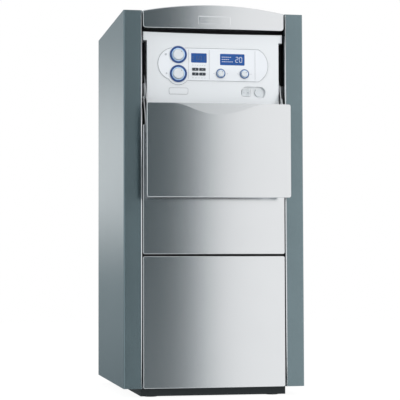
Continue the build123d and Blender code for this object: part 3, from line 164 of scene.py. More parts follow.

# %% Worn edges and painted edge highlight
EDGE_GAIN = 8.0
wear_and_highlight, wear_and_highlight_in, wear_and_highlight_out = new_group(
    "Edge wear and highlight",
    SHADER_TREE,
    [("Radius", FLOAT, 0.0015), ("Patch Scale", FLOAT, 60.0), ("Amount", FLOAT, 0.5)],
    [("Mask", FLOAT)],
)
rounded = add_node(wear_and_highlight, "ShaderNodeBevel", {"samples": 4}, Radius=wear_and_highlight_in["Radius"])
surface = add_node(wear_and_highlight, "ShaderNodeNewGeometry")
turned = add_node(
    wear_and_highlight,
    "ShaderNodeVectorMath",
    {"operation": "DOT_PRODUCT"},
    n0=rounded,
    n1=surface.outputs["Normal"],
)
edge = math_node(wear_and_highlight, "SUBTRACT", 1.0, turned.outputs["Value"])
sharp_edge = times(wear_and_highlight, edge, EDGE_GAIN, clamp=True)
wear_and_highlight_place = add_node(wear_and_highlight, "ShaderNodeTexCoord")
patches = add_node(
    wear_and_highlight,
    "ShaderNodeTexNoise",
    Vector=wear_and_highlight_place.outputs["Object"],
    Scale=wear_and_highlight_in["Patch Scale"],
    Detail=4.0,
)
patchy = times(wear_and_highlight, sharp_edge, patches.outputs["Fac"])
feed(wear_and_highlight, wear_and_highlight_out["Mask"], times(wear_and_highlight, patchy, wear_and_highlight_in["Amount"]))
print(wear_and_highlight.name, "nodes", len(wear_and_highlight.nodes))

# %% Settled dust
dust, dust_in, dust_out = new_group(
    "Settled dust", SHADER_TREE, [("Amount", FLOAT, 0.2), ("Scale", FLOAT, 25.0)], [("Mask", FLOAT)]
)
facing = add_node(dust, "ShaderNodeNewGeometry")
up = add_node(dust, "ShaderNodeSeparateXYZ", n0=facing.outputs["Normal"])
upward = times(dust, up.outputs["Z"], dust_in["Amount"], clamp=True)
dust_place = add_node(dust, "ShaderNodeTexCoord")
clouds = add_node(
    dust,
    "ShaderNodeTexNoise",
    Vector=dust_place.outputs["Object"],
    Scale=dust_in["Scale"],
    Detail=5.0,
)
feed(dust, dust_out["Mask"], times(dust, upward, clouds.outputs["Fac"]))
print(dust.name, "nodes", len(dust.nodes))


# %% [markdown]
# ## One recipe for every finish
# Each finish is a Principled shader whose colour, roughness and bump come from the groups
# above. What differs is the colour, the gloss, how metallic it is, the grain's scale and
# direction, and how pale the edges turn, as rubbed wear and as a painted highlight. Values
# that are the same all over a surface are set on the shader's own sockets.

# %% Finish recipe
DUST_COLOUR = (0.62, 0.6, 0.56, 1.0)
DUST_DULLS, FLECK_DULLS = 0.5, 0.2
RUBBED_GAIN, RUBBED_LIFT = 1.5, 0.06
RELIEF_DEPTH = 0.0004
finishes = {}


def finish(
    name,
    colour,
    roughness,
    metallic=0.0,
    scale=600.0,
    bump=0.15,
    pebble=0.0,
    along=(1.0, 1.0),
    tone=0.08,
    gloss_change=0.1,
    edge_wear_and_highlight=None,
    wear_and_highlight_amount=0.5,
    dust_amount=0.15,
    spangle=0.0,
    **shader_values,
):
    """A procedural material. Tone is how far the colour drifts, edge_wear_and_highlight the
    colour of rubbed edges and of a painted edge highlight, and spangle how much each grain
    cell differs from the next."""
    material = bpy.data.materials.new(name)
    material.use_nodes = True
    tree = material.node_tree
    shader = tree.nodes["Principled BSDF"]
    surface_grain = use_group(
        tree, grain, Scale=scale, Pebble=pebble, Along_X=along[0], Along_Z=along[1]
    )
    base = (*colour, 1.0)
    darker = tuple(channel * (1 - 2 * tone) for channel in colour) + (1.0,)
    flecks = times(tree, surface_grain.outputs["Cell"], spangle)
    drift = math_node(tree, "SUBTRACT", surface_grain.outputs["Tone"], flecks, clamp=True)
    drifted = mixed(tree, drift, darker, base)
    rubbed_and_lit_edge = edge_wear_and_highlight or tuple(min(1.0, channel * RUBBED_GAIN + RUBBED_LIFT) for channel in colour)
    edges = use_group(tree, wear_and_highlight, Amount=wear_and_highlight_amount)
    worn_and_lit_colour = mixed(tree, edges.outputs["Mask"], drifted, (*rubbed_and_lit_edge, 1.0))
    settled = use_group(tree, dust, Amount=dust_amount)
    dusty_colour = mixed(tree, settled.outputs["Mask"], worn_and_lit_colour, DUST_COLOUR)
    feed(tree, shader.inputs["Base Color"], dusty_colour)
    gloss = times(tree, surface_grain.outputs["Height"], gloss_change)
    rough = math_node(tree, "ADD", gloss, roughness - gloss_change / 2)
    uneven = times(tree, flecks, FLECK_DULLS)
    rough = math_node(tree, "ADD", rough, uneven)
    dull = times(tree, settled.outputs["Mask"], DUST_DULLS)
    feed(tree, shader.inputs["Roughness"], math_node(tree, "ADD", rough, dull, clamp=True))
    relief = add_node(
        tree,
        "ShaderNodeBump",
        Strength=bump,
        Distance=RELIEF_DEPTH,
        Height=surface_grain.outputs["Height"],
    )
    feed(tree, shader.inputs["Normal"], relief)
    shader.inputs["Metallic"].default_value = metallic
    for socket_name, value in shader_values.items():
        shader.inputs[socket_name.replace("_", " ")].default_value = value
    finishes[name] = material
    return material


# %% [markdown]
# The side panels have a dark metallic powder coat, and the front panels are silver. The
# plinth is plain black. The niche is near black too, which paints the shade in the gaps
# beside and behind the front panels. The rear panel is galvanised sheet, whose zinc froze
# in flat crystals a few millimetres wide. So its grain cells differ in tone and gloss, where
# a paint's cells only make a fine bump.

# %% Finishes of the casing and the front
# The casing's pale edge colour and full edge amount paint the highlight where its folded edges
# catch the light, on top of some rubbed wear.
finish(
    "casing_paint",
    (0.215, 0.284, 0.307),
    0.2,
    metallic=0.88,
    scale=900.0,
    bump=0.2,
    edge_wear_and_highlight=(0.62, 0.67, 0.69),
    wear_and_highlight_amount=1.0,
)
finish(
    "silver_front",
    (0.8, 0.815, 0.83),
    0.18,
    metallic=1.0,
    scale=2200.0,
    bump=0.03,
    tone=0.02,
    gloss_change=0.05,
    edge_wear_and_highlight=(0.92, 0.93, 0.94),
    dust_amount=0.05,
)
finish("plinth_black", (0.006, 0.011, 0.013), 0.55, scale=800.0, bump=0.2)
# Near black that paints the shade in the gaps beside and behind the front panels.
finish("niche_black", (0.012, 0.012, 0.014), 0.55, scale=800.0, bump=0.2)
finish(
    "galvanised_steel",
    (0.5, 0.52, 0.54),
    0.4,
    metallic=0.9,
    scale=110.0,
    bump=0.06,
    pebble=1.0,
    tone=0.2,
    spangle=0.8,
)
ROLLED_X, ROLLED_Z = (0.05, 1.0), (1.0, 0.05)
finish("zinc_steel", (0.55, 0.56, 0.57), 0.32, metallic=1.0, scale=900.0, bump=0.08, along=ROLLED_Z)
finish("foot_plastic", (0.02, 0.02, 0.023), 0.5, scale=1200.0, pebble=0.5)
print("casing finishes", sorted(finishes))

# %% [markdown]
# The control panel is moulded plastic. A moulding tool leaves a fine even pebble on the
# fascia, while the plate over it is smoother, and the knobs have a satin skin. The rings
# round the knobs are dark blue and glossy, and the two displays are lit from behind.

# %% Finishes of the control panel
finish(
    "fascia_plastic",
    (0.81, 0.83, 0.85),
    0.28,
    metallic=0.34,
    scale=1500.0,
    pebble=0.7,
    bump=0.1,
    tone=0.02,
    dust_amount=0.05,
)
finish("plate_plastic", (0.725, 0.745, 0.775), 0.3, scale=1800.0, bump=0.05, tone=0.02)
finish("knob_white", (0.62, 0.65, 0.68), 0.35, scale=1800.0, bump=0.06, tone=0.02)
finish("ring_blue", (0.018, 0.06, 0.22), 0.2, scale=1400.0, bump=0.04, tone=0.1, Coat_Weight=0.4)
finish("key_grey", (0.025, 0.032, 0.045), 0.4, scale=1600.0, bump=0.08)
finish("switch_grey", (0.62, 0.65, 0.67), 0.4, scale=1700.0, bump=0.06, tone=0.02)
finish("mark_dark", (0.06, 0.08, 0.12), 0.5, scale=1600.0, bump=0.05)
# Grey for thin lines that paint the shadow and shade in gaps and grooves of the plate.
finish("painted_shade_grey", (0.1, 0.11, 0.13), 0.5, scale=1600.0, bump=0.05)
# A pale rim with a faint glow that paints the highlight on the edge of each knob's ring.
finish(
    "ring_highlight",
    (0.45, 0.62, 0.85),
    0.2,
    scale=1400.0,
    bump=0.04,
    tone=0.05,
    Emission_Color=(0.35, 0.55, 0.9, 1.0),
    Emission_Strength=0.25,
)
finish("mark_pale", (0.75, 0.8, 0.85), 0.5, scale=1600.0, bump=0.05)
print("finishes so far", len(finishes))

# %% [markdown]
# Behind the covers are the metals of the boiler body: stainless steel with its rolling
# lines, cast aluminium, brass and yellow gas paint, and plain mouldings. The insulation is
# moulded from foam beads, which show as cells a few millimetres wide.

# %% Finishes of the boiler body
finish(
    "vessel_steel", (0.5, 0.49, 0.47), 0.35, metallic=1.0, scale=900.0, bump=0.08, along=(0.04, 1.0)
)
finish(
    "burner_steel", (0.42, 0.36, 0.28), 0.4, metallic=1.0, scale=700.0, tone=0.25, along=(1.0, 0.04)
)
finish(
    "insulation_foam",
    (0.055, 0.055, 0.06),
    0.8,
    scale=260.0,
    pebble=2.5,
    bump=0.8,
    tone=0.2,
    spangle=0.6,
)
finish("cast_door", (0.48, 0.49, 0.5), 0.5, metallic=0.9, scale=500.0, pebble=1.0, bump=0.35)
finish("impeller_plastic", (0.02, 0.02, 0.022), 0.4, scale=1300.0)
finish("motor_black", (0.02, 0.02, 0.022), 0.35, scale=900.0)
finish("valve_aluminium", (0.55, 0.55, 0.56), 0.42, metallic=0.95, scale=650.0, bump=0.25)
finish("pipe_steel", (0.55, 0.36, 0.03), 0.4, scale=500.0, bump=0.2, edge_wear_and_highlight=(0.4, 0.4, 0.4))
finish("flue_white", (0.72, 0.72, 0.7), 0.35, scale=1200.0, bump=0.06)
finish("stub_brass", (0.6, 0.4, 0.14), 0.3, metallic=1.0, scale=900.0, along=ROLLED_X)
finish("trap_grey", (0.2, 0.21, 0.22), 0.45, scale=1300.0, pebble=0.4)
finish("lever_red", (0.42, 0.016, 0.012), 0.35, scale=1300.0, bump=0.08)
finish("spark_black", (0.025, 0.025, 0.028), 0.45, scale=1300.0)
finish("gland_black", (0.02, 0.02, 0.022), 0.45, scale=1500.0, pebble=0.4)
finish("board_green", (0.01, 0.12, 0.05), 0.3, scale=300.0, bump=0.1)
print("finishes so far", len(finishes))

# %% [markdown]
# A display is a dark film behind a clear window, lit from its edge. So it glows a little
# unevenly, and a fine dot grid shows up close. The glow is emission, because the light comes
# from the display itself.

# %% Finish of the lit displays
DISPLAY_DIM = (0.004, 0.03, 0.12, 1.0)
DISPLAY_LIT = (0.03, 0.14, 0.5, 1.0)
DOTS_PER_METRE, DOT_SIZE, CLOUD_SCALE = 1400.0, 0.42, 30.0
display = finish(
    "display_blue", (0.006, 0.05, 0.2), 0.25, scale=2600.0, bump=0.02, tone=0.1, Coat_Weight=0.1
)
display_tree = display.node_tree
display_grid = add_node(display_tree, "ShaderNodeTexCoord")
display_cells = add_node(
    display_tree,
    "ShaderNodeTexVoronoi",
    {"distance": "CHEBYCHEV"},
    Vector=display_grid.outputs["Object"],
    Scale=DOTS_PER_METRE,
    Randomness=0.0,
)
display_cloud = add_node(
    display_tree, "ShaderNodeTexNoise", Vector=display_grid.outputs["Object"], Scale=CLOUD_SCALE
)
display_dots = math_node(display_tree, "LESS_THAN", display_cells.outputs["Distance"], DOT_SIZE)
display_light = times(display_tree, display_dots, display_cloud.outputs["Fac"])
display_glow = mixed(display_tree, display_light, DISPLAY_DIM, DISPLAY_LIT)
display_shader = display_tree.nodes["Principled BSDF"]
feed(display_tree, display_shader.inputs["Emission Color"], display_glow)
display_shader.inputs["Emission Strength"].default_value = 0.4
print("finishes made", len(finishes))

# %% [markdown]
# The CAD model says which slot each of its nodes has, such as brass or casing paint. The
# node's mesh stays as it is, and only its material is exchanged for the finish of that slot.

# %% Dress the CAD nodes
for node_name, slot_name in slots.items():
    skin = nodes[node_name].data.materials
    skin.clear()
    skin.append(finishes[slot_name])
print("finishes", len(finishes), "on", len(slots), "nodes")


# %% [markdown]
# ## Tools for the small pieces
# Most of the small pieces are turned: bezels, screw heads, seals and nuts. A lathe helper
# spins a half profile round an axis. The others are short bars cut from a flat outline. A
# piece is made at its final place, because its object has to sit at the origin.

# %% Objects and meshes
def link_object(name, data):
    piece = bpy.data.objects.new(name, data)
    bpy.context.scene.collection.objects.link(piece)
    return piece


def link_mesh(name, bm, material=None, smooth=True):
    bmesh.ops.recalc_face_normals(bm, faces=bm.faces)
    mesh = bpy.data.meshes.new(name)
    bm.to_mesh(mesh)
    bm.free()
    shade(mesh, smooth)
    if material:
        mesh.materials.append(material)
    return link_object(name, mesh)


def shade(mesh, smooth):
    for face in mesh.polygons:
        face.use_smooth = smooth


def mesh_of(holder):
    """The mesh of an object as its modifiers or its curve leave it."""
    bpy.context.view_layer.update()
    seen = holder.evaluated_get(bpy.context.evaluated_depsgraph_get())
    return bpy.data.meshes.new_from_object(seen)


# %% Turned and flat shapes
def join_rows(bm, first, second):
    """A strip of faces between two rows with as many points."""
    for corners in zip(first, first[1:], second[1:], second):
        bm.faces.new(corners)


def join_rings(bm, first, second):
    """The same strip, closed to a ring."""
    join_rows(bm, first + first[:1], second + second[:1])


def lathe(profile, turns=48, closed=True):
    """Spins (radius, height) points round Z. A point on the axis becomes a pole."""
    bm = bmesh.new()
    rings = []
    for radius, height in profile:
        if radius == 0:
            rings.append([bm.verts.new((0, 0, height))])
            continue
        ring = []
        for step in range(turns):
            angle = 2 * math.pi * step / turns
            ring.append(bm.verts.new((radius * math.cos(angle), radius * math.sin(angle), height)))
        rings.append(ring)
    pairs = zip(rings, rings[1:] + rings[:1] if closed else rings[1:])
    for first, second in pairs:
        for step in range(turns):
            corners = [
                first[step % len(first)],
                first[(step + 1) % len(first)],
                second[(step + 1) % len(second)],
                second[step % len(second)],
            ]
            unique = list(dict.fromkeys(corners))
            if len(unique) > 2:
                bm.faces.new(unique)
    return bm


CHAMFER_SHARE, HEAD_SHARES = 0.15, (0.97, 0.94)


def bar(length, width, height, point=0.0):
    """A flat bar along X that stands up along Z, with chamfered or pointed ends."""
    half, side = length / 2, width / 2
    tip = max(point, width * CHAMFER_SHARE)
    outline = [
        (-half, -side + tip),
        (-half, side - tip),
        (-half + tip, side),
        (half - tip, side),
        (half, side - tip),
        (half, -side + tip),
        (half - tip, -side),
        (-half + tip, -side),
    ]
    bm = bmesh.new()
    foot = [bm.verts.new((x, y, -height)) for x, y in outline]
    head = [bm.verts.new((x * HEAD_SHARES[0], y * HEAD_SHARES[1], height)) for x, y in outline]
    bm.faces.new(foot)
    bm.faces.new(head)
    join_rings(bm, foot, head)
    bmesh.ops.remove_doubles(bm, verts=bm.verts, dist=1e-7)
    return bm


def half_profile(inner, width, height, shares):
    """The points that a lathe spins, from shares of their width and height."""
    return [(inner + width * out, height * up) for out, up in shares]


# %% The middle of a node, and the body of a piece
def centre(node):
    low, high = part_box(node)
    return (Vector(low) + Vector(high)) / 2


def carried(piece, body):
    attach(piece, body)


# %% [markdown]
# A mark or a screw has to sit on the face that carries it, and some faces are tilted, as on
# the rocker. So its place is found by a ray: it starts in front of the node, runs straight
# back, and gives the point and the face's normal there. One search tree is kept for each
# node, because building it takes far longer than the ray.

# %% Places on a node's face
BACK = Vector((0, 1, 0))
RAY_START = 0.02
ray_trees = {}


def hit_on(node, start, direction):
    """Where a ray first meets a node, and the face's normal there."""
    if node not in ray_trees:
        mesh = nodes[node].data
        corners = [vertex.co for vertex in mesh.vertices]
        ray_trees[node] = BVHTree.FromPolygons(corners, [tuple(p.vertices) for p in mesh.polygons])
    spot, normal, _, _ = ray_trees[node].ray_cast(start, direction)
    if spot is None:
        raise ValueError(f"nothing of {node} at {tuple(start)}")
    return spot, normal if normal.dot(direction) < 0 else -normal


def on_face(node, x, z):
    """The place and turn for a piece that stands along Z, put on a node's front face."""
    start = Vector((x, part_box(node)[0][1] - RAY_START, z))
    spot, normal = hit_on(node, start, BACK)
    across = Vector((1, 0, 0)) - normal.x * normal
    across.normalize()
    turn = Matrix((across, normal.cross(across), normal)).transposed()
    return spot, turn.to_quaternion().to_euler()


def quarter_turned(place_and_turn):
    """The same place with a quarter turn more in the plane of the face."""
    place, turn = place_and_turn
    return place, (turn.to_matrix() @ Matrix.Rotation(math.pi / 2, 3, "Z")).to_euler()


# %% [markdown]
# ## Copies on points
# Screws, dashes and display segments are one shape repeated. A Geometry Nodes tree puts a
# copy on every point of a mesh, turned by an attribute of that point. The tree realizes its
# copies and sets their finish, and the result is turned into a plain mesh.

# %% Tree: copies on points
copy_tree, copy_in, copy_out = new_group(
    "Copies on points",
    "GeometryNodeTree",
    [
        ("Points", "NodeSocketGeometry", None),
        ("Shape", "NodeSocketObject", None),
        ("Finish", "NodeSocketMaterial", None),
    ],
    [("Geometry", "NodeSocketGeometry")],
)
shape_info = add_node(copy_tree, "GeometryNodeObjectInfo", Object=copy_in["Shape"])
point_turn = add_node(
    copy_tree, "GeometryNodeInputNamedAttribute", {"data_type": "FLOAT_VECTOR"}, Name="turn"
)
placed = add_node(
    copy_tree,
    "GeometryNodeInstanceOnPoints",
    Points=copy_in["Points"],
    Instance=shape_info.outputs["Geometry"],
)
turned_copies = add_node(
    copy_tree,
    "GeometryNodeRotateInstances",
    Instances=placed,
    Rotation=point_turn.outputs["Attribute"],
)
solid_copies = add_node(copy_tree, "GeometryNodeRealizeInstances", Geometry=turned_copies)
finished_copies = add_node(
    copy_tree, "GeometryNodeSetMaterial", Geometry=solid_copies, Material=copy_in["Finish"]
)
feed(copy_tree, copy_out[0], finished_copies)
print(copy_tree.name, "nodes", len(copy_tree.nodes))


# %% Run the tree for a piece
def run_tree(piece, tree, values):
    """Runs a tree on an object by its input names and keeps the result as a plain mesh."""
    modifier = piece.modifiers.new(tree.name, "NODES")
    modifier.node_group = tree
    for item in tree.interface.items_tree:
        if item.item_type == "SOCKET" and item.in_out == "INPUT" and item.name in values:
            modifier[item.identifier] = values[item.name]
    result = mesh_of(piece)
    piece.modifiers.clear()
    piece.data = result


def copies(name, shape, places, finish_name, body, smooth=False):
    """One piece made of a copy of a shape at each (place, turn)."""
    points = bpy.data.meshes.new(name)
    points.from_pydata([tuple(place) for place, _ in places], [], [])
    turns = points.attributes.new("turn", "FLOAT_VECTOR", "POINT")
    for index, (_, turn) in enumerate(places):
        turns.data[index].vector = tuple(turn)
    piece = link_object(name, points)
    template = link_mesh(name + "_shape", shape, smooth=False)
    run_tree(piece, copy_tree, {"Shape": template, "Finish": finishes[finish_name]})
    bpy.data.objects.remove(template)
    if smooth:
        shade(piece.data, True)
    carried(piece, body)
    print(name, "copies", len(places))
    return piece


# %% [markdown]
# ## A ring of ribs
# Fingers need something to hold on a knob, so its side is ribbed. One rib is a short round
# rod that follows the knob's taper. The tree makes it as a curve with a round profile and
# turns a copy for each rib. The same tree gives a cable gland's nut its grip.

# %% Tree: one rib
rib_tree, rib_in, rib_out = new_group(
    "Ring of ribs",
    "GeometryNodeTree",
    [
        ("Geometry", "NodeSocketGeometry", None),
        ("Ribs", "NodeSocketInt", 24),
        ("Base Radius", FLOAT, 0.0176),
        ("Face Radius", FLOAT, 0.0156),
        ("Height", FLOAT, 0.008),
        ("Rib Radius", FLOAT, 0.0007),
        ("Place", "NodeSocketVector", (0.0, 0.0, 0.0)),
        ("Turn", "NodeSocketVector", (0.0, 0.0, 0.0)),
        ("Finish", "NodeSocketMaterial", None),
    ],
    [("Geometry", "NodeSocketGeometry")],
)
rib_foot = add_node(rib_tree, "ShaderNodeCombineXYZ", n0=rib_in["Base Radius"])
rib_head = add_node(rib_tree, "ShaderNodeCombineXYZ", n0=rib_in["Face Radius"], n2=rib_in["Height"])
rib_line = add_node(rib_tree, "GeometryNodeCurvePrimitiveLine", Start=rib_foot, End=rib_head)
rib_round = add_node(
    rib_tree, "GeometryNodeCurvePrimitiveCircle", Resolution=8, Radius=rib_in["Rib Radius"]
)
rib_rod = add_node(
    rib_tree, "GeometryNodeCurveToMesh", Curve=rib_line, Profile_Curve=rib_round, Fill_Caps=True
)

# %% Tree: ribs in a ring
rib_points = add_node(rib_tree, "GeometryNodeMeshLine", Count=rib_in["Ribs"])
feed(rib_tree, rib_points.inputs["Offset"], (0.0, 0.0, 0.0))
rib_index = add_node(rib_tree, "GeometryNodeInputIndex")
rib_step = math_node(rib_tree, "DIVIDE", 2 * math.pi, rib_in["Ribs"])
rib_angle = times(rib_tree, rib_index, rib_step)
rib_turn = add_node(rib_tree, "ShaderNodeCombineXYZ", n2=rib_angle)
rib_copies = add_node(rib_tree, "GeometryNodeInstanceOnPoints", Points=rib_points, Instance=rib_rod)
rib_turned = add_node(
    rib_tree, "GeometryNodeRotateInstances", Instances=rib_copies, Rotation=rib_turn
)
rib_solid = add_node(rib_tree, "GeometryNodeRealizeInstances", Geometry=rib_turned)
rib_placed = add_node(
    rib_tree,
    "GeometryNodeTransform",
    Geometry=rib_solid,
    Translation=rib_in["Place"],
    Rotation=rib_in["Turn"],
)
rib_done = add_node(
    rib_tree, "GeometryNodeSetMaterial", Geometry=rib_placed, Material=rib_in["Finish"]
)
feed(rib_tree, rib_out[0], rib_done)
print(rib_tree.name, "nodes", len(rib_tree.nodes))

# %% Ribs on a piece
FACE_FORWARD = (math.pi / 2, 0.0, 0.0)
FACE_BACK = (-math.pi / 2, 0.0, 0.0)
UPRIGHT = (0.0, 0.0, 0.0)


def ribs(name, place, turn, sizes, finish_name, body):
    """Sizes are the count, base radius, face radius, height and rib radius."""
    piece = link_object(name, bpy.data.meshes.new(name))
    labels = ("Ribs", "Base Radius", "Face Radius", "Height", "Rib Radius")
    values = dict(zip(labels, sizes))
    values.update({"Place": tuple(place), "Turn": turn, "Finish": finishes[finish_name]})
    run_tree(piece, rib_tree, values)
    carried(piece, body)
    print(name, "ribs", sizes[0])


# %% [markdown]
# The two dials are wide and have forty ribs, and the two smaller knobs have twenty eight.
# Each ring of ribs rides on its own knob, so it turns with it.

# %% Ribs on the knobs
DIAL_RIBS = (40, 0.0176, 0.0156, 0.0084, 0.0005)
ENCODER_RIBS = (28, 0.01, 0.0095, 0.0076, 0.0004)
KNOB_LIFT = 0.0005
knob_ribs = {
    "upper_dial": DIAL_RIBS,
    "lower_dial": DIAL_RIBS,
    "left_encoder_knob": ENCODER_RIBS,
    "right_encoder_knob": ENCODER_RIBS,
}
plate_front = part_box("control_plate")[0][1]
for knob_name, sizes in knob_ribs.items():
    middle = centre(knob_name)
    base = (middle.x, plate_front - KNOB_LIFT, middle.z)
    ribs(knob_name + "_ribs", base, FACE_FORWARD, sizes, "knob_white", knob_name)
print("plate front", round(plate_front, 4))

# %% [markdown]
# ## Bezels and pointers
# Each knob turns inside a dark blue ring, and a thin pale bezel frames the ring on the
# plate. The bezel is turned from a rounded profile. The pointer on the knob is a small
# hollow that is filled with dark paint.

# %% Bezels round the rings
BEZEL_WIDTH, BEZEL_HEIGHT = 0.0021, 0.0013
BEZEL_SHARES = ((0, 0), (0, 0.75), (0.25, 1), (0.65, 1), (1, 0.5), (1, 0))
BEZEL_RADII = {"dial": 0.02705, "encoder": 0.01465}


def knob_places(kind, front):
    """A place on the axis of each knob of a kind, facing forward."""
    middles = [centre(knob_name) for knob_name in knob_ribs if kind in knob_name]
    return [(Vector((middle.x, front, middle.z)), Euler(FACE_FORWARD)) for middle in middles]


for kind, inner in BEZEL_RADII.items():
    shape = lathe(half_profile(inner, BEZEL_WIDTH, BEZEL_HEIGHT, BEZEL_SHARES))
    spots = knob_places(kind, plate_front)
    copies(kind + "_bezels", shape, spots, "knob_white", "cabinet", smooth=True)

# %% Pointer dots on the knobs
DOT_RADIUS, DOT_DEPTH = 0.0014, 0.0008
DOT_RIM, DOT_HEIGHTS = DOT_RADIUS * 0.98, (0.0005, 0.0006)
for knob_name, sizes in knob_ribs.items():
    middle = centre(knob_name)
    reach = (sizes[2] - 2 * DOT_RADIUS) * math.sqrt(0.5)
    floor_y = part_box(knob_name)[0][1] + DOT_DEPTH
    spot = Vector((middle.x + reach, floor_y, middle.z + reach))
    dot = [(0.0, 0.0), (DOT_RIM, 0.0), (DOT_RIM, DOT_HEIGHTS[0]), (0.0, DOT_HEIGHTS[1])]
    shape = lathe(dot, turns=16, closed=False)
    place = [(spot, Euler(FACE_FORWARD))]
    copies(knob_name + "_pointer", shape, place, "mark_dark", knob_name)

# %% [markdown]
# ## What the displays show
# Both displays are generic. The small one shows a flow temperature in seven-segment
# digits, dark on the lit blue. The large one shows a pale room temperature beside three
# menu lines that are only dashes, so nothing on them is lettering. Each segment is a bar
# with pointed ends that stands a tenth of a millimetre proud of the glass.

# %% Seven-segment digits
SEGMENTS = {"0": "abcdef", "2": "abged", "6": "afgedc"}
SEGMENT_HEIGHT = 0.0001
LARGE_WINDOW_WIDTH = 0.079


def digit_places(left_foot, size, gap, digits):
    """Places of the bars of some digits, from the lower left corner of the first."""
    (x, z), (width, height) = left_foot, size
    spots = []
    for index, digit in enumerate(digits):
        left = x + index * (width + gap)
        half = height / 2
        where = {
            "a": (left + width / 2, z + height, False),
            "d": (left + width / 2, z, False),
            "g": (left + width / 2, z + half, False),
            "f": (left, z + half * 1.5, True),
            "b": (left + width, z + half * 1.5, True),
            "e": (left, z + half / 2, True),
            "c": (left + width, z + half / 2, True),
        }
        for segment in SEGMENTS[digit]:
            bar_x, bar_z, upright = where[segment]
            spot = on_face("display_windows", bar_x, bar_z)
            spots.append(quarter_turned(spot) if upright else spot)
    return spots


windows_low, windows_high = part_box("display_windows")
small_left, large_left = windows_low[0], windows_high[0] - LARGE_WINDOW_WIDTH
# Each row is the digits, their finish, lower left corner, size and gap. A bar has a length,
# a width and how far its ends are pointed.
digit_rows = {
    "small": ("60", "mark_dark", (small_left + 0.0175, 1.048), (0.006, 0.012), 0.0035),
    "large": ("20", "mark_pale", (large_left + 0.05, 1.043), (0.0078, 0.016), 0.0045),
}
digit_bars = {"small": (0.0052, 0.0012, 0.0005), "large": (0.0069, 0.0014, 0.0006)}
for kind, (digits, finish_name, left_foot, size, gap) in digit_rows.items():
    length, width, point = digit_bars[kind]
    shape = bar(length, width, SEGMENT_HEIGHT, point)
    spots = digit_places(left_foot, size, gap, digits)
    copies(kind + "_display_digits", shape, spots, finish_name, "cabinet")

# %% Menu lines and status marks
MENU_ROWS, MENU_STEPS = (5, 4, 6), (0.0062, 0.0072)
MENU_LEFT, MENU_TOP, MENU_BAR = large_left + 0.008, 1.0585, (0.0046, 0.0016)
menu = []
for row, count in enumerate(MENU_ROWS):
    for column in range(count):
        x = MENU_LEFT + column * MENU_STEPS[0]
        menu.append(on_face("display_windows", x, MENU_TOP - row * MENU_STEPS[1]))
shape = bar(*MENU_BAR, SEGMENT_HEIGHT)
copies("large_display_lines", shape, menu, "mark_pale", "cabinet")
STATUS_COLUMNS, STATUS_FOOT, STATUS_STEP = (0.006, 0.044), 1.046, 0.0055
STATUS_BAR = (0.0042, 0.0018)
status = [
    on_face("display_windows", small_left + column, STATUS_FOOT + row * STATUS_STEP)
    for column in STATUS_COLUMNS
    for row in range(3)
]
shape = bar(*STATUS_BAR, SEGMENT_HEIGHT)
copies("small_display_marks", shape, status, "mark_dark", "cabinet")

# %% [markdown]
# ## Marks on the plate and the keys
# A row of small dashes stands above and below the keys, and each key carries one sign in
# relief: plus, minus or a menu line. The rocker has a bar for on and a ring for off. At the
# left of the two dials are the usual signs for the radiators and the hot water.

# %% Signs on the keys
MARK_HEIGHT, KEY_STROKE, KEY_SPREAD = 0.00012, (0.0042, 0.0008), 0.0016
key_signs = {
    "upper_left_key": [(0, False), (0, True)],
    "upper_right_key": [(0, False)],
    "lower_left_key": [(-KEY_SPREAD, False), (KEY_SPREAD, False)],
    "lower_right_key": [(0, True)],
}
for key_name, strokes in key_signs.items():
    middle = centre(key_name)
    spots = []
    for shift, upright in strokes:
        spot = on_face(key_name, middle.x, middle.z + shift)
        spots.append(quarter_turned(spot) if upright else spot)
    shape = bar(*KEY_STROKE, MARK_HEIGHT)
    copies(key_name + "_sign", shape, spots, "mark_pale", key_name)

# %% Dashes on the plate
DASH_MARGIN, DASH_FROM_KNOB, DASH_BAR = 0.003, 0.0215, (0.0036, 0.0009)
DASHES_ABOVE, DASHES_BELOW = 0.007, 0.0065
key_low, key_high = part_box("lower_left_key")[0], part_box("upper_right_key")[1]
dash_rows = ((key_high[2] + DASHES_ABOVE, 6), (key_low[2] - DASHES_BELOW, 5))
dashes = []
for z, count in dash_rows:
    step = (key_high[0] - key_low[0] - 2 * DASH_MARGIN) / (count - 1)
    for column in range(count):
        dashes.append(on_face("control_plate", key_low[0] + DASH_MARGIN + column * step, z))
for knob_name in ("left_encoder_knob", "right_encoder_knob"):
    middle = centre(knob_name)
    for side in (-1, 1):
        dashes.append(on_face("control_plate", middle.x + side * DASH_FROM_KNOB, middle.z))
shape = bar(*DASH_BAR, MARK_HEIGHT)
copies("plate_dashes", shape, dashes, "mark_dark", "cabinet")

# %% Signs beside the dials and on the rocker
def ring_sign(inner, outer, height):
    """A flat ring, as used for hot water and for off."""
    return lathe([(inner, 0.0), (inner, height), (outer, height), (outer, 0.0)], turns=24)


SIGN_FROM_DIAL, RADIATOR_STEP, RADIATOR_BAR = 0.0395, 0.0022, (0.0062, 0.0009)
WATER_RING, WATER_SHIFT = (0.0014, 0.0022, 0.0002), 0.002
sign_x = centre("upper_dial").x - SIGN_FROM_DIAL
radiator = [
    quarter_turned(on_face("control_plate", sign_x + n * RADIATOR_STEP, centre("upper_dial").z))
    for n in (-1, 0, 1)
]
shape = bar(*RADIATOR_BAR, MARK_HEIGHT)
copies("radiator_sign", shape, radiator, "mark_dark", "cabinet")
shape = ring_sign(*WATER_RING)
water = [on_face("control_plate", sign_x + WATER_SHIFT, centre("lower_dial").z)]
copies("water_sign", shape, water, "mark_dark", "cabinet")

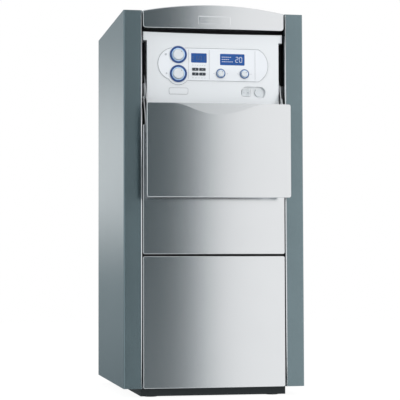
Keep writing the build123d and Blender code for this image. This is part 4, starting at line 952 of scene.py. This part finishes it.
rocker = centre("mains_rocker")
ON_BAR, ON_SHIFT, OFF_RADII, OFF_SHIFT = (0.005, 0.0009), -0.007, (0.0016, 0.0024), 0.006
shape = bar(*ON_BAR, MARK_HEIGHT)
on_sign = [quarter_turned(on_face("mains_rocker", rocker.x + ON_SHIFT, rocker.z))]
copies("rocker_on_sign", shape, on_sign, "mark_dark", "mains_rocker")
shape = ring_sign(*OFF_RADII, MARK_HEIGHT)
off_sign = [on_face("mains_rocker", rocker.x + OFF_SHIFT, rocker.z)]
copies("rocker_off_sign", shape, off_sign, "mark_dark", "mains_rocker")

# %% [markdown]
# ## Painted shade lines on the plate
# The plate is a separate moulding that is pressed into the fascia, so a thin gap runs round
# it. The outline is taken from the plate's own front face, and a thin dark line follows it,
# which paints the shadow in that gap. The same helper puts a thin dark line round the bare
# name plate, which paints the shade at its edge. Shallow grooves divide the plate, and dark
# lines in them paint their shade.

# %% Outlines of the plate and the name plate
def front_outline(node, front):
    """The widest closed edge loop of a node's front face, as points in order."""
    bm = bmesh.new()
    bm.from_mesh(nodes[node].data)
    bmesh.ops.remove_doubles(bm, verts=bm.verts, dist=1e-6)
    bm.edges.index_update()
    flat = {
        face
        for face in bm.faces
        if face.normal.y < -0.99 and abs(face.calc_center_median().y - front) < 2e-4
    }
    rim = {e for face in flat for e in face.edges if sum(f in flat for f in e.link_faces) == 1}
    loops = []
    while rim:
        edge = min(rim, key=lambda e: e.index)
        rim.discard(edge)
        loop = [edge.verts[0], edge.verts[1]]
        while True:
            following = next((e for e in loop[-1].link_edges if e in rim), None)
            if following is None:
                break
            rim.discard(following)
            loop.append(following.other_vert(loop[-1]))
        loops.append([vert.co.copy() for vert in loop[:-1]])
    bm.free()
    return max(loops, key=lambda points: max(p.x for p in points) - min(p.x for p in points))


def rounded_outline(middle, size, corner, y, steps=8):
    """A rectangle with round corners that lies in the plane at y."""
    points = []
    for quarter, (side, rise) in enumerate(((1, 1), (-1, 1), (-1, -1), (1, -1))):
        pivot_x = middle[0] + side * (size[0] / 2 - corner)
        pivot_z = middle[1] + rise * (size[1] / 2 - corner)
        for step in range(steps + 1):
            angle = math.pi / 2 * (quarter + step / steps)
            x = pivot_x + corner * math.cos(angle)
            points.append(Vector((x, y, pivot_z + corner * math.sin(angle))))
    return points


# %% Lines that follow them
def line_round(name, points, radius):
    """A round dark line along a closed row of points, in the grey that paints shade."""
    curve = bpy.data.curves.new(name, "CURVE")
    curve.dimensions = "3D"
    curve.bevel_depth = radius
    curve.bevel_resolution = 2
    spline = curve.splines.new("POLY")
    spline.points.add(len(points) - 1)
    for point, spot in zip(spline.points, points):
        point.co = (*spot, 1.0)
    spline.use_cyclic_u = True
    holder = link_object(name + "_curve", curve)
    mesh = mesh_of(holder)
    bpy.data.objects.remove(holder)
    mesh.materials.clear()
    mesh.materials.append(finishes["painted_shade_grey"])
    carried(link_object(name, mesh), "cabinet")
    print(name, "points", len(points))


# These thin dark lines paint the shadow in the gap round the plate and the shade round the name
# plate.
PLATE_SHADOW_RADIUS, BADGE_SHADE_RADIUS = 0.00045, 0.000495
BADGE_MIDDLE, BADGE_SIZE, BADGE_CORNER = (-0.1106, 0.9492), (0.0598, 0.0198), 0.0054
BADGE_SINK = 0.001
line_round("plate_seal", front_outline("control_plate", plate_front), PLATE_SHADOW_RADIUS)
badge_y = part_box("control_fascia")[0][1] + BADGE_SINK
badge = rounded_outline(BADGE_MIDDLE, BADGE_SIZE, BADGE_CORNER, badge_y)
line_round("badge_line", badge, BADGE_SHADE_RADIUS)

# Dark bars in the plate's grooves paint the shade in them.
DIVIDERS, PLATE_MIDDLE = (-0.0785, -0.0129, 0.1339), 1.0338
DIVIDER_BAR = (0.094, 0.0007, 0.00015)
for index, divider_x in enumerate(DIVIDERS):
    spot = [quarter_turned(on_face("control_plate", divider_x, PLATE_MIDDLE))]
    name = f"plate_divider_{index}"
    copies(name, bar(*DIVIDER_BAR), spot, "painted_shade_grey", "cabinet")

# %% [markdown]
# ## Painted highlight rings and the bare plate on the cap
# Each knob's ring is clear blue plastic, and a pale rim with a faint glow where it meets the
# knob paints the highlight on its glossy edge. The cap has a flat blank plate for a name. It
# follows the cap's curve, so its points are found by rays that hit the cap.

# %% Painted highlight rings
RING_HIGHLIGHTS = {"dial": (0.0184, 0.0021), "encoder": (0.0109, 0.0011)}
RING_HEIGHT, RING_SHARES = 0.0009, ((0, 0), (0, 2 / 3), (0.5, 1), (1, 2 / 9), (1, 0))
ring_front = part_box("dial_rings")[0][1]
for kind, (inner, width) in RING_HIGHLIGHTS.items():
    shape = lathe(half_profile(inner, width, RING_HEIGHT, RING_SHARES))
    spots = knob_places(kind, ring_front)
    copies(kind + "_light_rings", shape, spots, "ring_highlight", "cabinet", smooth=True)

# %% Plate on the cap
CAP_PLATE_MIDDLE, CAP_PLATE_SIZE, CAP_PLATE_LIFT = (0.002, 1.171), (0.104, 0.026), 0.0006
CAP_PLATE_GRID, PLATE_BEVEL = (34, 8), 0.0009


def rim_share(index, count, length):
    """Even shares from -0.5 to 0.5, but the first and last step are only a bevel wide."""
    edge = PLATE_BEVEL / length
    if index in (0, count):
        return index / count - 0.5
    return (index - 1) / (count - 2) * (1 - 2 * edge) + edge - 0.5


def plate_layer(bm, node, sunk):
    """A grid of points on a node's front, raised inside its rim or sunk under it."""
    (columns, rows), (width, height) = CAP_PLATE_GRID, CAP_PLATE_SIZE
    layer = []
    for row in range(rows + 1):
        line = []
        for column in range(columns + 1):
            x = CAP_PLATE_MIDDLE[0] + rim_share(column, columns, width) * width
            z = CAP_PLATE_MIDDLE[1] + rim_share(row, rows, height) * height
            spot, turn = on_face(node, x, z)
            normal = turn.to_matrix() @ Vector((0, 0, 1))
            inside = 0 < column < columns and 0 < row < rows
            rise = -CAP_PLATE_LIFT if sunk else (CAP_PLATE_LIFT if inside else 0.0)
            line.append(bm.verts.new(spot + normal * rise))
        layer.append(line)
    return layer


plate_bm = bmesh.new()
top = plate_layer(plate_bm, "front_cap", False)
bottom = plate_layer(plate_bm, "front_cap", True)
for layer in (top, bottom):
    for low_line, high_line in zip(layer, layer[1:]):
        join_rows(plate_bm, low_line, high_line)
for end in (0, -1):
    join_rows(plate_bm, top[end], bottom[end])
    join_rows(plate_bm, [line[end] for line in top], [line[end] for line in bottom])
cap_plate = link_mesh("cap_name_plate", plate_bm, finishes["silver_front"])
carried(cap_plate, "cabinet")
print("cap plate faces", len(cap_plate.data.polygons))

# %% [markdown]
# ## Screws in the casing
# A pan head screw has a low dome with a cross recess. One head is cut with a Boolean, and
# the copy tree puts it at each place of the CAD node, which it replaces. Each head is turned
# a little further than the last, as hand-driven screws are.

# %% Places of the parts of a node
def loose_parts(node):
    """The low and high corners of each separate part of a node."""
    bm = bmesh.new()
    bm.from_mesh(nodes[node].data)
    bmesh.ops.remove_doubles(bm, verts=bm.verts, dist=1e-6)
    seen, boxes = set(), []
    for vert in bm.verts:
        if vert in seen:
            continue
        stack, part = [vert], []
        seen.add(vert)
        while stack:
            point = stack.pop()
            part.append(point.co.copy())
            for edge in point.link_edges:
                other = edge.other_vert(point)
                if other not in seen:
                    seen.add(other)
                    stack.append(other)
        low = Vector(min(p[axis] for p in part) for axis in range(3))
        high = Vector(max(p[axis] for p in part) for axis in range(3))
        boxes.append((low, high))
    bm.free()
    return boxes


# %% Screw heads
SCREW_RADIUS, SCREW_HEIGHT, SCREW_SPIN = 0.004, 0.002, 0.7
RECESS_LENGTH_SHARE, RECESS_WIDTH_SHARE = 1.15, 0.24
DOME_SHARES = ((0, 0), (1, 0), (1, 0.35), (0.9, 0.75), (0.6, 0.95), (0, 1))


def cross_head(radius, height):
    """A pan head with a cross recess, as a bmesh that stands on Z."""
    dome = half_profile(0.0, radius, height, DOME_SHARES)
    head = link_mesh("head", lathe(dome, turns=24, closed=False))
    cuts = []
    for turn in (0, math.pi / 2):
        blade = bar(radius * RECESS_LENGTH_SHARE, radius * RECESS_WIDTH_SHARE, height * 0.5)
        bmesh.ops.rotate(blade, verts=blade.verts, matrix=Matrix.Rotation(turn, 3, "Z"))
        bmesh.ops.translate(blade, verts=blade.verts, vec=(0, 0, height))
        cuts.append(link_mesh("blade", blade))
        cut = head.modifiers.new("recess", "BOOLEAN")
        cut.operation = "DIFFERENCE"
        cut.solver = "EXACT"
        cut.object = cuts[-1]
    bm = bmesh.new()
    bm.from_mesh(mesh_of(head))
    for scrap in (head, *cuts):
        bpy.data.objects.remove(scrap)
    return bm


screw_places = []
for index, (low, high) in enumerate(loose_parts("casing_screws")):
    middle = (low + high) / 2
    in_front = middle.y < 0
    facing_way, base_y = (FACE_FORWARD, high.y) if in_front else (FACE_BACK, low.y)
    spin = Matrix.Rotation(index * SCREW_SPIN, 3, "Z")
    turn = (Euler(facing_way).to_matrix() @ spin).to_euler()
    screw_places.append((Vector((middle.x, base_y, middle.z)), turn))
shape = cross_head(SCREW_RADIUS, SCREW_HEIGHT)
screws = copies("cross_screws", shape, screw_places, "zinc_steel", "cabinet")
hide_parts("casing_screws")


# %% [markdown]
# ## Pipe threads
# The water pipes end in an outside pipe thread of one inch, and the gas pipe in one of three
# quarters. A thread is a ridge that climbs one pitch per turn, so the radius of each point
# depends on its distance along the pipe and on its angle. The first turns are chamfered.

# %% Threaded pipes
THREAD_LENGTH, THREAD_TURNS, ROWS_PER_PITCH = 0.038, 40, 5
THREAD_STEP, BORE_CHAMFER = 0.0012, 0.0008
FLANK_SLOPE, LEAD_SLOPE = 1.15, 0.8


def threaded_pipe(bm, low, high, bore, thread):
    """Adds a pipe along Y between two corners. The thread is its radius, depth and pitch."""
    major, depth, pitch = thread
    start, end = low.y, high.y
    first_row = end - THREAD_LENGTH
    rows = [(start, major - THREAD_STEP, False), (first_row, major - THREAD_STEP, False)]
    count = round(THREAD_LENGTH / pitch * ROWS_PER_PITCH)
    rows += [(first_row + THREAD_LENGTH * n / count, major, True) for n in range(count + 1)]
    rows += [(end, bore + BORE_CHAMFER, False), (end - BORE_CHAMFER, bore, False)]
    rows += [(start, bore, False)]
    rings = []
    for y, radius, cut in rows:
        ring = []
        for step in range(THREAD_TURNS):
            share = step / THREAD_TURNS
            reach = radius
            if cut:
                phase = (y / pitch + share) % 1
                reach = major - depth * min(1.0, FLANK_SLOPE * abs(2 * phase - 1))
                reach = min(reach, major - depth + (end - y) * LEAD_SLOPE)
            angle = 2 * math.pi * share
            x = (low.x + high.x) / 2 + reach * math.cos(angle)
            ring.append(bm.verts.new((x, y, (low.z + high.z) / 2 + reach * math.sin(angle))))
        rings.append(ring)
    for first, second in zip(rings, rings[1:] + rings[:1]):
        join_rings(bm, first, second)


# Each row is the new piece, the CAD node, its finish, the bore and the thread.
WATER_THREAD, GAS_THREAD = (0.016625, 0.001479, 0.002309), (0.01322, 0.001162, 0.001814)
pipe_rows = [
    ("threaded_water_pipes", "water_stubs", "stub_brass", 0.0125, WATER_THREAD),
    ("threaded_gas_pipe", "gas_pipe", "pipe_steel", 0.01, GAS_THREAD),
]
for name, node_name, finish_name, bore, thread in pipe_rows:
    pipe_bm = bmesh.new()
    for low, high in loose_parts(node_name):
        threaded_pipe(pipe_bm, low, high, bore, thread)
    pipes = link_mesh(name, pipe_bm, finishes[finish_name], smooth=False)
    carried(pipes, "cabinet")
    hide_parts(node_name)
    print(name, "faces", len(pipes.data.polygons))

# %% [markdown]
# ## Grips and seals
# A cable gland's nut is turned by hand, so it is ribbed. The flue socket and the air collar
# have a black lip seal inside, which keeps the flue gas in.

# %% Ribs on the glands
GLAND_NUT_LENGTH, GLAND_RIBS = 0.013, (20, 0.0108, 0.0102, 0.0095, 0.0005)
for index, (low, high) in enumerate(loose_parts("cable_glands")):
    middle = (low + high) / 2
    base = (middle.x, high.y - GLAND_NUT_LENGTH, middle.z)
    ribs(f"gland_ribs_{index}", base, FACE_BACK, GLAND_RIBS, "gland_black", "cabinet")

# %% Seals in the flue socket and the air collar
FLUE_X, FLUE_Y = 0.205, 0.269
SEAL_DROPS, SEAL_BITE = (0.009, 0.013), 0.0002
SEAL_LIP = ((0.0016, -0.0002), (0.002, 0.0006))
SEAL_HALF = 0.0012
for node_name in ("flue_pipe", "air_collar"):
    top_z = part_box(node_name)[1][2]
    spot, _ = hit_on(node_name, Vector((FLUE_X, FLUE_Y, top_z - SEAL_DROPS[0])), Vector((1, 0, 0)))
    wall = spot.x - FLUE_X
    lip = [(wall + SEAL_BITE, -SEAL_HALF)]
    lip += [(wall - reach, height) for reach, height in SEAL_LIP]
    lip += [(wall + SEAL_BITE, SEAL_HALF)]
    spots = [(Vector((FLUE_X, FLUE_Y, top_z - drop)), Euler(UPRIGHT)) for drop in SEAL_DROPS]
    name, shape = node_name + "_seal", lathe(lip, turns=64)
    copies(name, shape, spots, "gland_black", "cabinet", smooth=True)
    print(node_name, "inner radius", round(wall, 4))

# %% [markdown]
# Each pipe leaves through a hole that is a little larger than the pipe. A rubber grommet
# fills the gap, so the sheet can't rattle on the pipe or cut it.

# %% Grommets in the rear panel
GROMMET_LIP, GROMMET_HEIGHT, GROMMET_GAP = 0.0045, 0.0024, 0.0001
rear_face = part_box("rear_panel")[1][1]
exits = [(corners, WATER_THREAD) for corners in loose_parts("water_stubs")]
exits += [(corners, GAS_THREAD) for corners in loose_parts("gas_pipe")]
for index, ((low, high), thread) in enumerate(exits):
    inner = thread[0] - THREAD_STEP + GROMMET_GAP
    outer = thread[0] - THREAD_STEP + GROMMET_LIP
    grommet = [
        (inner, 0.0),
        (inner, GROMMET_HEIGHT),
        (inner + GROMMET_LIP * 0.35, GROMMET_HEIGHT),
        (outer - GROMMET_LIP * 0.15, GROMMET_HEIGHT * 0.6),
        (outer, 0.0),
    ]
    middle = (low + high) / 2
    spot = [(Vector((middle.x, rear_face, middle.z)), Euler(FACE_BACK))]
    name, shape = f"pipe_grommet_{index}", lathe(grommet, turns=40)
    copies(name, shape, spot, "gland_black", "cabinet")

# %% [markdown]
# A pale line runs along the inner fold of the left pillar, where the fold catches the light.
# A thin bright strip that hugs the fold paints this highlight, so its outline is an arc a
# little larger than the fold's own, drawn out over the pillar's height. Each pillar gets one.

# %% Painted highlight strips on the pillar folds
FOLD_RADIUS, STRIP_COVER, STRIP_SINK = 0.004, 0.0006, 0.0001
STRIP_FROM, STRIP_TO, STRIP_STEPS, STRIP_END = math.radians(4), math.radians(68), 10, 0.002
for node_name, side in (("left_side_panel", 1), ("right_side_panel", -1)):
    low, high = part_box(node_name)
    corners = [vert.co for vert in nodes[node_name].data.vertices]
    pivot_x = side * max(corner.x * side for corner in corners if corner.y < low[1] + 1e-5)
    pivot = Vector((pivot_x, low[1] + FOLD_RADIUS, 0))
    spokes = []
    for step in range(STRIP_STEPS + 1):
        angle = STRIP_FROM + (STRIP_TO - STRIP_FROM) * step / STRIP_STEPS
        spokes.append(Vector((side * math.sin(angle), -math.cos(angle), 0)))
    outline = [pivot + spoke * (FOLD_RADIUS + STRIP_COVER) for spoke in spokes]
    outline += [pivot + spoke * (FOLD_RADIUS - STRIP_SINK) for spoke in reversed(spokes)]
    strip_bm = bmesh.new()
    ends = []
    for height in (low[2] + STRIP_END, high[2] - STRIP_END):
        ends.append([strip_bm.verts.new((p.x, p.y, height)) for p in outline])
    join_rings(strip_bm, *ends)
    for end in ends:
        strip_bm.faces.new(end)
    # Each strip paints the highlight on its fold in the silver finish.
    name = node_name.replace("side_panel", "pillar_strip")
    carried(link_mesh(name, strip_bm, finishes["silver_front"]), "cabinet")
    print(name, "at x", round(pivot.x, 4))

# %% [markdown]
# ## Studio
# The photo is a catalogue shot on plain white, so the world shows white to the camera. The
# silver panels get a studio instead, which only their reflections see. It is dark at the
# left front and bright at the right, so they grade as in the photo, and it has dim walls and
# a pale ceiling, so they also look like silver from other sides. Rays that leave backwards
# see a lit backdrop.

# %% Tools for the world's colours
scene = bpy.context.scene
scene.view_settings.view_transform = "Standard"
WHITE = (1.0, 1.0, 1.0, 1.0)
DARK_SIDE, MIDDLE_COOL = (0.03, 0.05, 0.058, 1.0), (0.41, 0.495, 0.535, 1.0)
RIGHT_EDGE, LEFT_EDGE, CEILING_EDGE = (0.137, 0.197), (0.05, 0.26), (0.3, 0.55)
WALL_SHARE = 0.85


def smooth_step(tree, value, edges, top=1.0):
    """Rises smoothly from 0 to the top between two edges."""
    settings = {"interpolation_type": "SMOOTHSTEP"}
    ends = {"From_Min": edges[0], "From_Max": edges[1], "To_Max": top}
    return add_node(tree, "ShaderNodeMapRange", settings, Value=value, **ends).outputs["Result"]


def studio_gradient(tree, sideways, upward):
    """Bright to the right, with a dark flag at the left front and dim walls beyond it."""
    right = smooth_step(tree, sideways, RIGHT_EDGE)
    leftward = times(tree, sideways, -1.0)
    left_wall = smooth_step(tree, leftward, LEFT_EDGE, WALL_SHARE)
    steep = math_node(tree, "ABSOLUTE", upward)
    ceiling = smooth_step(tree, steep, CEILING_EDGE, WALL_SHARE)
    walls = math_node(tree, "MAXIMUM", left_wall, ceiling)
    doubled = times(tree, math_node(tree, "MAXIMUM", right, walls), 2.0)
    to_middle = math_node(tree, "MINIMUM", doubled, 1.0)
    past_middle = math_node(tree, "SUBTRACT", doubled, 1.0, clamp=True)
    cool_half = mixed(tree, to_middle, DARK_SIDE, MIDDLE_COOL)
    return mixed(tree, past_middle, cool_half, WHITE)


# %% World
FLOOR_HAZE, FLOOR_BEHIND = (0.8, 0.84, 0.86, 1.0), (0.2, 0.24, 0.26, 1.0)
BACKDROP_DIM, BACKDROP_LIT = (0.29, 0.34, 0.36, 1.0), (0.9, 0.92, 0.93, 1.0)
HAZE_EDGE, HAZE_SHARE, FLOOR_EDGE = (0.0, 0.06), 0.1, (0.02, 0.1)
RISE_EDGE, FADE_EDGE, FADE_SHARE = (-0.015, 0.055), (0.08, 0.16), 0.85
world = bpy.data.worlds.new("Studio")
scene.world = world
world.use_nodes = True
sky = world.node_tree
sky.nodes.clear()
ray = add_node(sky, "ShaderNodeLightPath")
toward = add_node(sky, "ShaderNodeTexCoord")
split = add_node(sky, "ShaderNodeSeparateXYZ", Vector=toward.outputs["Generated"])
upward = split.outputs["Z"]
downward = times(sky, upward, -1.0)
haze = smooth_step(sky, downward, HAZE_EDGE, HAZE_SHARE)
gradient = studio_gradient(sky, split.outputs["X"], upward)
studio_colour = mixed(sky, haze, gradient, FLOOR_HAZE)
studio = add_node(sky, "ShaderNodeBackground", Color=studio_colour, Strength=1.0)
rise = smooth_step(sky, upward, RISE_EDGE)
fade = smooth_step(sky, upward, FADE_EDGE, FADE_SHARE)
lit_band = math_node(sky, "SUBTRACT", rise, fade)
lit_backdrop = mixed(sky, lit_band, BACKDROP_DIM, BACKDROP_LIT)
floor_band = smooth_step(sky, downward, FLOOR_EDGE)
backdrop_colour = mixed(sky, floor_band, lit_backdrop, FLOOR_BEHIND)
shown_colour = mixed(sky, ray.outputs["Is Camera Ray"], backdrop_colour, WHITE)
backdrop = add_node(sky, "ShaderNodeBackground", Color=shown_colour, Strength=1.0)
glossy = math_node(sky, "MAXIMUM", ray.outputs["Is Glossy Ray"], ray.outputs["Is Transmission Ray"])
behind = math_node(sky, "GREATER_THAN", split.outputs["Y"], 0.0)
glossy_behind = times(sky, glossy, behind)
background = math_node(sky, "MAXIMUM", ray.outputs["Is Camera Ray"], glossy_behind)
sky_mix = add_node(sky, "ShaderNodeMixShader", n0=background, n1=studio, n2=backdrop)
add_node(sky, "ShaderNodeOutputWorld", Surface=sky_mix)
print("world nodes", len(sky.nodes))

# %% [markdown]
# The floor is a wide plane that only keeps a soft shadow. To the camera it glows almost
# white, and what is left of its grey takes the shadow. Reflections pass through it and see
# the world, so no hard horizon shows in the panels.

# %% Floor
FLOOR_SIZE, FLOOR_GREY, FLOOR_GLOW, GLOW_STRENGTH = 12.0, (0.45, 0.45, 0.45, 1.0), 0.8, 1.17
floor_bm = bmesh.new()
bmesh.ops.create_grid(floor_bm, x_segments=1, y_segments=1, size=FLOOR_SIZE / 2)
floor_mesh = bpy.data.meshes.new("studio_floor")
floor_bm.to_mesh(floor_mesh)
floor_bm.free()
floor = link_object("studio_floor", floor_mesh)
floor_look = bpy.data.materials.new("Studio floor")
floor_look.use_nodes = True
floor_tree = floor_look.node_tree
floor_tree.nodes.clear()
floor_ray = add_node(floor_tree, "ShaderNodeLightPath")
diffuse = add_node(floor_tree, "ShaderNodeBsdfDiffuse", Color=FLOOR_GREY)
glow = add_node(floor_tree, "ShaderNodeEmission", Color=WHITE, Strength=GLOW_STRENGTH)
floor_seen = math_node(
    floor_tree,
    "MAXIMUM",
    floor_ray.outputs["Is Camera Ray"],
    floor_ray.outputs["Is Transmission Ray"],
)
glow_share = times(floor_tree, floor_seen, FLOOR_GLOW)
floor_mix = add_node(floor_tree, "ShaderNodeMixShader", n0=glow_share, n1=diffuse, n2=glow)
add_node(floor_tree, "ShaderNodeOutputMaterial", Surface=floor_mix)
floor_mesh.materials.append(floor_look)
floor.visible_glossy = False
print("floor", FLOOR_SIZE, "m wide")


# %% [markdown]
# Three area lamps stand in for the softboxes: a large one at the right front, a weak one at
# the left and one above. They light the paint and the plastic, and reflections don't show
# them, because the studio's gradient already gives the panels their light and shade.

# %% Lamps
def softbox(name, place, target, size, power, tint=(1.0, 1.0, 1.0)):
    lamp = bpy.data.lights.new(name, "AREA")
    lamp.shape = "RECTANGLE"
    lamp.size, lamp.size_y = size
    lamp.energy = power
    lamp.color = tint
    holder = link_object(name, lamp)
    holder.location = place
    aim = Vector(target) - Vector(place)
    holder.rotation_euler = aim.to_track_quat("-Z", "Y").to_euler()
    holder.visible_glossy = False
    print(name, power, "W")


BOILER_MIDDLE, LEFT_PANEL_MIDDLE = (0.0, 0.0, 0.65), (-0.285, 0.0, 0.95)
COOL_TINT = (0.9, 0.96, 1.0)
softbox("Right softbox", (2.2, -2.6, 1.1), BOILER_MIDDLE, (1.4, 2.2), 56.0)
softbox("Left fill", (-1.7, -0.5, 1.1), LEFT_PANEL_MIDDLE, (0.6, 0.6), 15.0, COOL_TINT)
softbox("Top softbox", (0.2, -0.6, 3.0), BOILER_MIDDLE, (1.6, 1.6), 22.0)

# %% [markdown]
# ## Camera
# Its place, turn and lens were found from corners, edges and knob centres in the photo. It
# stands low, a little left of the boiler and far away, so the perspective is mild. The lens
# isn't shifted, so other views are framed in the same way.

# %% Camera
LENS_LENGTH, SENSOR_WIDTH = 135.14, 36.0
CAMERA_PLACE, CAMERA_TURN = (-0.9131, -4.8785, 0.3981), (1.616, 0.0028, -0.1871)
lens = bpy.data.cameras.new("Camera")
lens.lens = LENS_LENGTH
lens.sensor_width = SENSOR_WIDTH
camera = link_object("Camera", lens)
camera.location = CAMERA_PLACE
camera.rotation_euler = CAMERA_TURN
scene.camera = camera
print("camera", CAMERA_PLACE, "lens", LENS_LENGTH)
